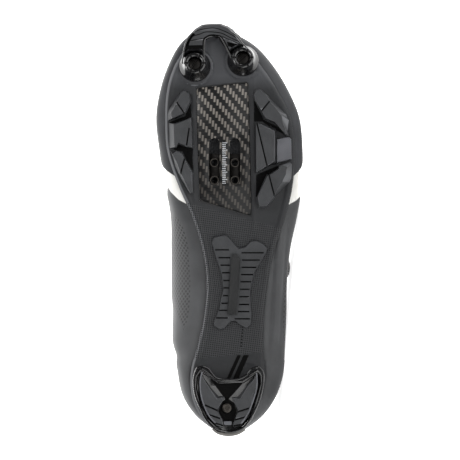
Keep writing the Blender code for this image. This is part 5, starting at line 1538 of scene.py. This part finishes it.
def makeHeelTrim():
    floorAt = heelLook["floor"]
    # Near-black patches on the pocket floor and round the screw: painted shade in the pocket
    flatPatch("heelDarkFloor", heelTrim["floorPatch"], floorAt - 0.0004, floorAt + 0.0004, "recess",
              "gloss_tpu")
    flatPatch("heelScrewPocket", heelTrim["screwPocket"], floorAt - 0.0004, floorAt + 0.0004, "recess",
              "gloss_tpu")
    flatPatch("heelScrewBlock", heelTrim["screwBlock"], floorAt - 0.0022, floorAt + 0.0002, "platform",
              "tread_rubber")
    for name, (radius, points) in heelTrim["beads"].items():
        path = [Vector((x, y, 1000 * max(0.0022, ground(x / 1000) + 0.0010))) / 1000 for x, y in points]
        settled(beadObject("bead", smoothPath(path, True, 4), radius, True, 10), "heelBead" + name,
                (finish["tpu"],), "gloss_tpu")
    # Thin beads in the lighter sole rubber along the wings' edges: painted highlights
    for name, points in heelTrim["wingHighlights"].items():
        path = [Vector((x, y, 1000 * ground(x / 1000) + 0.4)) / 1000 for x, y in points]
        settled(beadObject("bead", smoothPath(path, False, 4), 0.0005, False, 10), "wingHighlight" + name,
                (finish["platform"],), "tread_rubber")
    path = [Vector((x, y, 4.2)) / 1000 for x, y in heelTrim["backBumper"]]
    settled(beadObject("bead", smoothPath(path, False, 5), 0.0013, False, 12), "heelBumper",
            (finish["bumper"],), "tread_rubber")


makeHeel()
makeHeelTrim()
print("stage 8: shank pad and heel")


# Tongue: padded knit with crosswise channels

tongueLook = {"columns": 60, "rows": 26, "thickness": 0.0045, "gap": 0.0011, "front": 0.1880, "top": 0.0880,
              "overlap": 0.0090,
              "channels": (118.0, 129.0, 140.0, 151.0, 162.0), "channelDepth": 0.0007, "channelWidth": 1.3,
              # share from the front to the top, reach under the throat's edge as a share of the overlap
              "reach": ((0.00, 0.60), (0.20, 1.00), (0.50, 1.00), (0.82, 0.80), (0.91, 0.35), (0.97, -0.50),
                        (1.00, -1.40))}


def makeTongue():
    look = tongueLook
    heel, toe = ridgeEnds
    low = angleOf((look["top"] - heel) / (toe - heel))
    high = angleOf((look["front"] - heel) / (toe - heel))
    angles = [low + (high - low) * i / look["columns"] for i in range(look["columns"] + 1)]
    reach = curveThrough([row[0] for row in look["reach"]], [row[1] for row in look["reach"]])

    def edgeOf(angle):
        x = ridgePoint(abs(angle)).x
        share = (look["front"] - x) / (look["front"] - look["top"])
        return rowAtHalfWidth(angle, throatHalfWidth(x) + look["overlap"] * reach(share))

    def rowsAt(angle):
        edge = edgeOf(angle)
        return [edge + (2 - edge) * (j / look["rows"]) for j in range(look["rows"] + 1)]

    def swell(angle, row):
        # 0 at the tongue's edges, 1 inside
        edge = edgeOf(angle)
        u = min((row - edge) / 0.09, 1.0)
        v = min(min(abs(angle) - low, high - abs(angle)) / 0.05, 1.0)
        t = max(min(u, v), 0.0)
        return sqrt(1 - (1 - t) ** 2)

    def outerAt(angle, row):
        base = -guardStep(abs(angle)) - wallAt(angle, min(row, 1.98)) - look["gap"]
        x = ridgePoint(abs(angle)).x * 1000
        channel = look["channelDepth"] * sum(groove(x, centre,
                                                    look["channelWidth"]) for centre in look["channels"])
        return upperPoint(angle, row,
                          base - 0.5 * look["thickness"] * (1 - swell(angle, row)) - channel * ease(row, 1.80,
                                                                                                    1.88))

    def innerAt(angle, row):
        base = -guardStep(abs(angle)) - wallAt(angle, min(row, 1.98)) - look["gap"] - look["thickness"]
        return upperPoint(angle, row, base + 0.45 * look["thickness"] * (1 - swell(angle, row)))

    obj = shellObject("tongueWork", angles, rowsAt, rowsAt, outerAt, innerAt, lambda theta: True, 1)
    work = bmesh.new()
    work.from_mesh(obj.data)
    bmesh.ops.holes_fill(work, edges=[edge for edge in work.edges if edge.is_boundary])
    for face in work.faces:
        face.material_index = 0
    bmesh.ops.recalc_face_normals(work, faces=work.faces)
    work.to_mesh(obj.data)
    work.free()
    settled(obj, "tonguePad", (finish["tongueKnit"],), "textile", ("tongue",), 1.2)


makeTongue()


# Insole: foam board covered in knit

insoleLook = {
    "stations": 90, "thickness": 0.0040, "inset": 0.0012, "lift": 0.0005,
    # inset, height share: rounded foot and top edges
    "edge": ((0.0016, 0.0), (0.0009, 0.2), (0.0002, 0.35), (0.0002, 0.65), (0.0009, 0.85), (0.0022, 1.0)),
}


def makeInsole():
    look = insoleLook
    angles = [pi * i / look["stations"] for i in range(look["stations"] + 1)]
    heel, toe = ringEnds["feather"]

    def floorAt(x):
        step = guardStep(angleOf((x - heel) / (toe - heel)))
        return plateTop(x) + last["gap"] + look["lift"] + last["wall"] + step

    levels = [(look["inset"] + inset + last["featherInset"],
               lambda x, share=share: floorAt(x) + look["thickness"] * share) for inset, share in look["edge"]]
    obj = ringObject("insoleWork", angles, "feather", levels)
    settled(obj, "footbed", (finish["lining"],), "textile", ("insole",), 0.8)


makeInsole()
print("stage 9: tongue and footbed")


# Closure: dial, guides and lace

dialLook = {"radius": 0.0105, "height": 0.0058, "ridges": 30, "ridgeDepth": 0.05, "steps": 120, "edge": 0.0004,
            "throatShare": 0.1246, "row": 1.42}


def dialFrame():
    # The knob's own axis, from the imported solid
    verts = [worldToShoe @ vert.co for vert in frame["nodes"]["dial_knob"].data.vertices]
    centre = sum(verts, Vector()) / len(verts)
    x = last["throatTop"] + dialLook["throatShare"] * (last["throatFront"] - last["throatTop"])
    heel, toe = ridgeEnds
    angle = angleOf((x - heel) / (toe - heel))
    row = dialLook["row"]
    origin = upperPoint(angle, row, 0.0)
    along = upperPoint(angle + smallStep, row, 0.0) - upperPoint(angle - smallStep, row, 0.0)
    up = upperPoint(angle, row + smallStep, 0.0) - upperPoint(angle, row - smallStep, 0.0)
    normal = along.cross(up).normalized()
    if normal.dot(centre - Vector((centre.x, 0.0, plateTop(centre.x)))) < 0:
        normal = -normal
    matrix = frameAt(origin, along.normalized(), normal)
    heights = [(matrix.inverted() @ vert).z for vert in verts]
    return matrix, min(heights)


def makeDial():
    matrix, seat = dialFrame()
    base = copyOf("dial_base", finish["tpu"])
    rounded(base, dialLook["edge"], 3, 0.5)
    settled(base, "dialBase", (finish["tpu"],), "gloss_tpu", ("dial_base",), 0.5)
    radius, height = dialLook["radius"], dialLook["height"]
    profile = [(0.0, height - 0.0006), (0.50 * radius, height - 0.0006), (0.56 * radius, height - 0.0002),
               (0.62 * radius, height),
               (0.78 * radius, height), (0.88 * radius, 0.95 * height), (0.95 * radius, 0.84 * height),
               (radius, 0.66 * height),
               (radius, 0.12 * height), (0.96 * radius, 0.0), (0.0, 0.0)]
    knob = lathed([(r, z + seat) for r, z in profile], dialLook["steps"], matrix)
    inverse = matrix.inverted()
    for vert in knob.data.vertices:
        local = inverse @ vert.co
        away = sqrt(local.x ** 2 + local.y ** 2)
        if away > 0.90 * radius:
            ridge = 0.5 + 0.5 * cos(dialLook["ridges"] * atan2(local.y, local.x))
            factor = 1 - dialLook["ridgeDepth"] * (1 - ridge)
            vert.co = matrix @ Vector((local.x * factor, local.y * factor, local.z))
    settled(knob, "dialKnob", (finish["tpu"],), "gloss_tpu", ("dial_knob",), 0.5)
    for node in sorted(name for name in frame["nodes"] if name.startswith("lace_guide")):
        guide = copyOf(node, finish["tpu"])
        rounded(guide, dialLook["edge"], 2, 0.5)
        parts = node.split("_")
        settled(guide, "laceGuide" + parts[2].capitalize() + parts[3], (finish["tpu"],), "gloss_tpu", (node,),
                0.5)
    lace = copyOf("lace", finish["cord"], 0.0001)
    smooth = lace.modifiers.new("round", "SUBSURF")
    smooth.levels = 1
    smooth.render_levels = 1
    baked(lace)
    settled(lace, "laceCord", (finish["cord"],), "lace", ("lace",), 1.2)


makeDial()
print("stage 10: dial, guides and lace")


# Floor, light and camera

stageLook = {"paper": "#f6f6f5", "half": 9.0, "front": -6.0, "bendFrom": 3.2, "bendRadius": 2.2, "top": 7.0,
             "world": 0.10, "glow": 0.80,
             "lights": (
                 # name, place, aim, width, height, radiance of the softbox
                 ("topSoftbox", (0.0, 1.4, 2.4), (0.0, 1.4, 0.0), 3.4, 7.0, 2.1),
                 ("frontSoftbox", (0.55, -2.2, 1.30), (0.05, 0.0, 0.05), 0.50, 0.35, 26.0),
                 ("stripSoftbox", (-1.30, -1.7, 0.45), (0.0, 0.0, 0.05), 0.20, 0.70, 8.0),
             )}


def makeStage():
    look = stageLook
    work = bmesh.new()
    bend, radius = look["bendFrom"], look["bendRadius"]
    profile = [(look["front"], 0.0), (bend, 0.0)]
    profile += [(bend + radius * sin(k * pi / 48), radius - radius * cos(k * pi / 48)) for k in range(1, 25)]
    profile.append((bend + radius, look["top"]))
    sides = [[work.verts.new((x, y, z)) for y, z in profile] for x in (-look["half"], look["half"])]
    for i in range(len(profile) - 1):
        work.faces.new((sides[0][i], sides[1][i], sides[1][i + 1], sides[0][i + 1]))
    mesh = bpy.data.meshes.new("studioFloor")
    work.to_mesh(mesh)
    work.free()
    mesh.shade_smooth()
    floor = linked("studioFloor", mesh)
    material, tree, shader, place = newMaterial("matt studio paper", look["paper"], 0.9)
    cloud = addNode(tree, "TexNoise", place, Scale=0.002, Detail=2.0)
    tree.links.new(addNode(tree, "Mix", cloud, hexColor("#f5f5f4"), hexColor("#f8f8f7"), data_type="RGBA",
                           output=2), shader.inputs["Base Color"])
    shader.inputs["Emission Color"].default_value = (1.0, 1.0, 1.0, 1.0)
    shader.inputs["Emission Strength"].default_value = look["glow"]
    mesh.materials.append(material)


def makeLights():
    for name, place, aim, width, height, radiance in stageLook["lights"]:
        data = bpy.data.lights.new(name, "AREA")
        data.shape = "RECTANGLE"
        data.size, data.size_y = width, height
        data.energy = radiance * pi * width * height
        light = bpy.data.objects.new(name, data)
        light.location = place
        light.rotation_euler = (Vector(aim) - Vector(place)).to_track_quat("-Z", "Y").to_euler()
        light.visible_camera = False
        bpy.context.scene.collection.objects.link(light)
    world = bpy.data.worlds.new("softWhite")
    world.use_nodes = True
    background = world.node_tree.nodes["Background"]
    background.inputs["Color"].default_value = (1.0, 1.0, 1.0, 1.0)
    background.inputs["Strength"].default_value = stageLook["world"]
    bpy.context.scene.world = world
    bpy.context.scene.view_settings.view_transform = "Standard"


cameraLook = {"distance": 2.2, "aimX": 0.1402, "aimY": 0.0003, "span": 0.3128, "sensor": 36.0}


def makeCamera():
    data = bpy.data.cameras.new("photoCamera")
    data.sensor_width = cameraLook["sensor"]
    data.lens = cameraLook["sensor"] * cameraLook["distance"] / cameraLook["span"]
    data.clip_end = 50.0
    camera = bpy.data.objects.new("photoCamera", data)
    bpy.context.scene.collection.objects.link(camera)
    turn = Matrix((shoeOut, shoeToe, -shoeUp)).transposed().to_4x4()
    turn.translation = shoeToWorld @ Vector((cameraLook["aimX"], cameraLook["aimY"], -cameraLook["distance"]))
    camera.matrix_world = turn
    bpy.context.scene.camera = camera


makeStage()
makeLights()
makeCamera()
print("stage 11: floor, lights and camera")
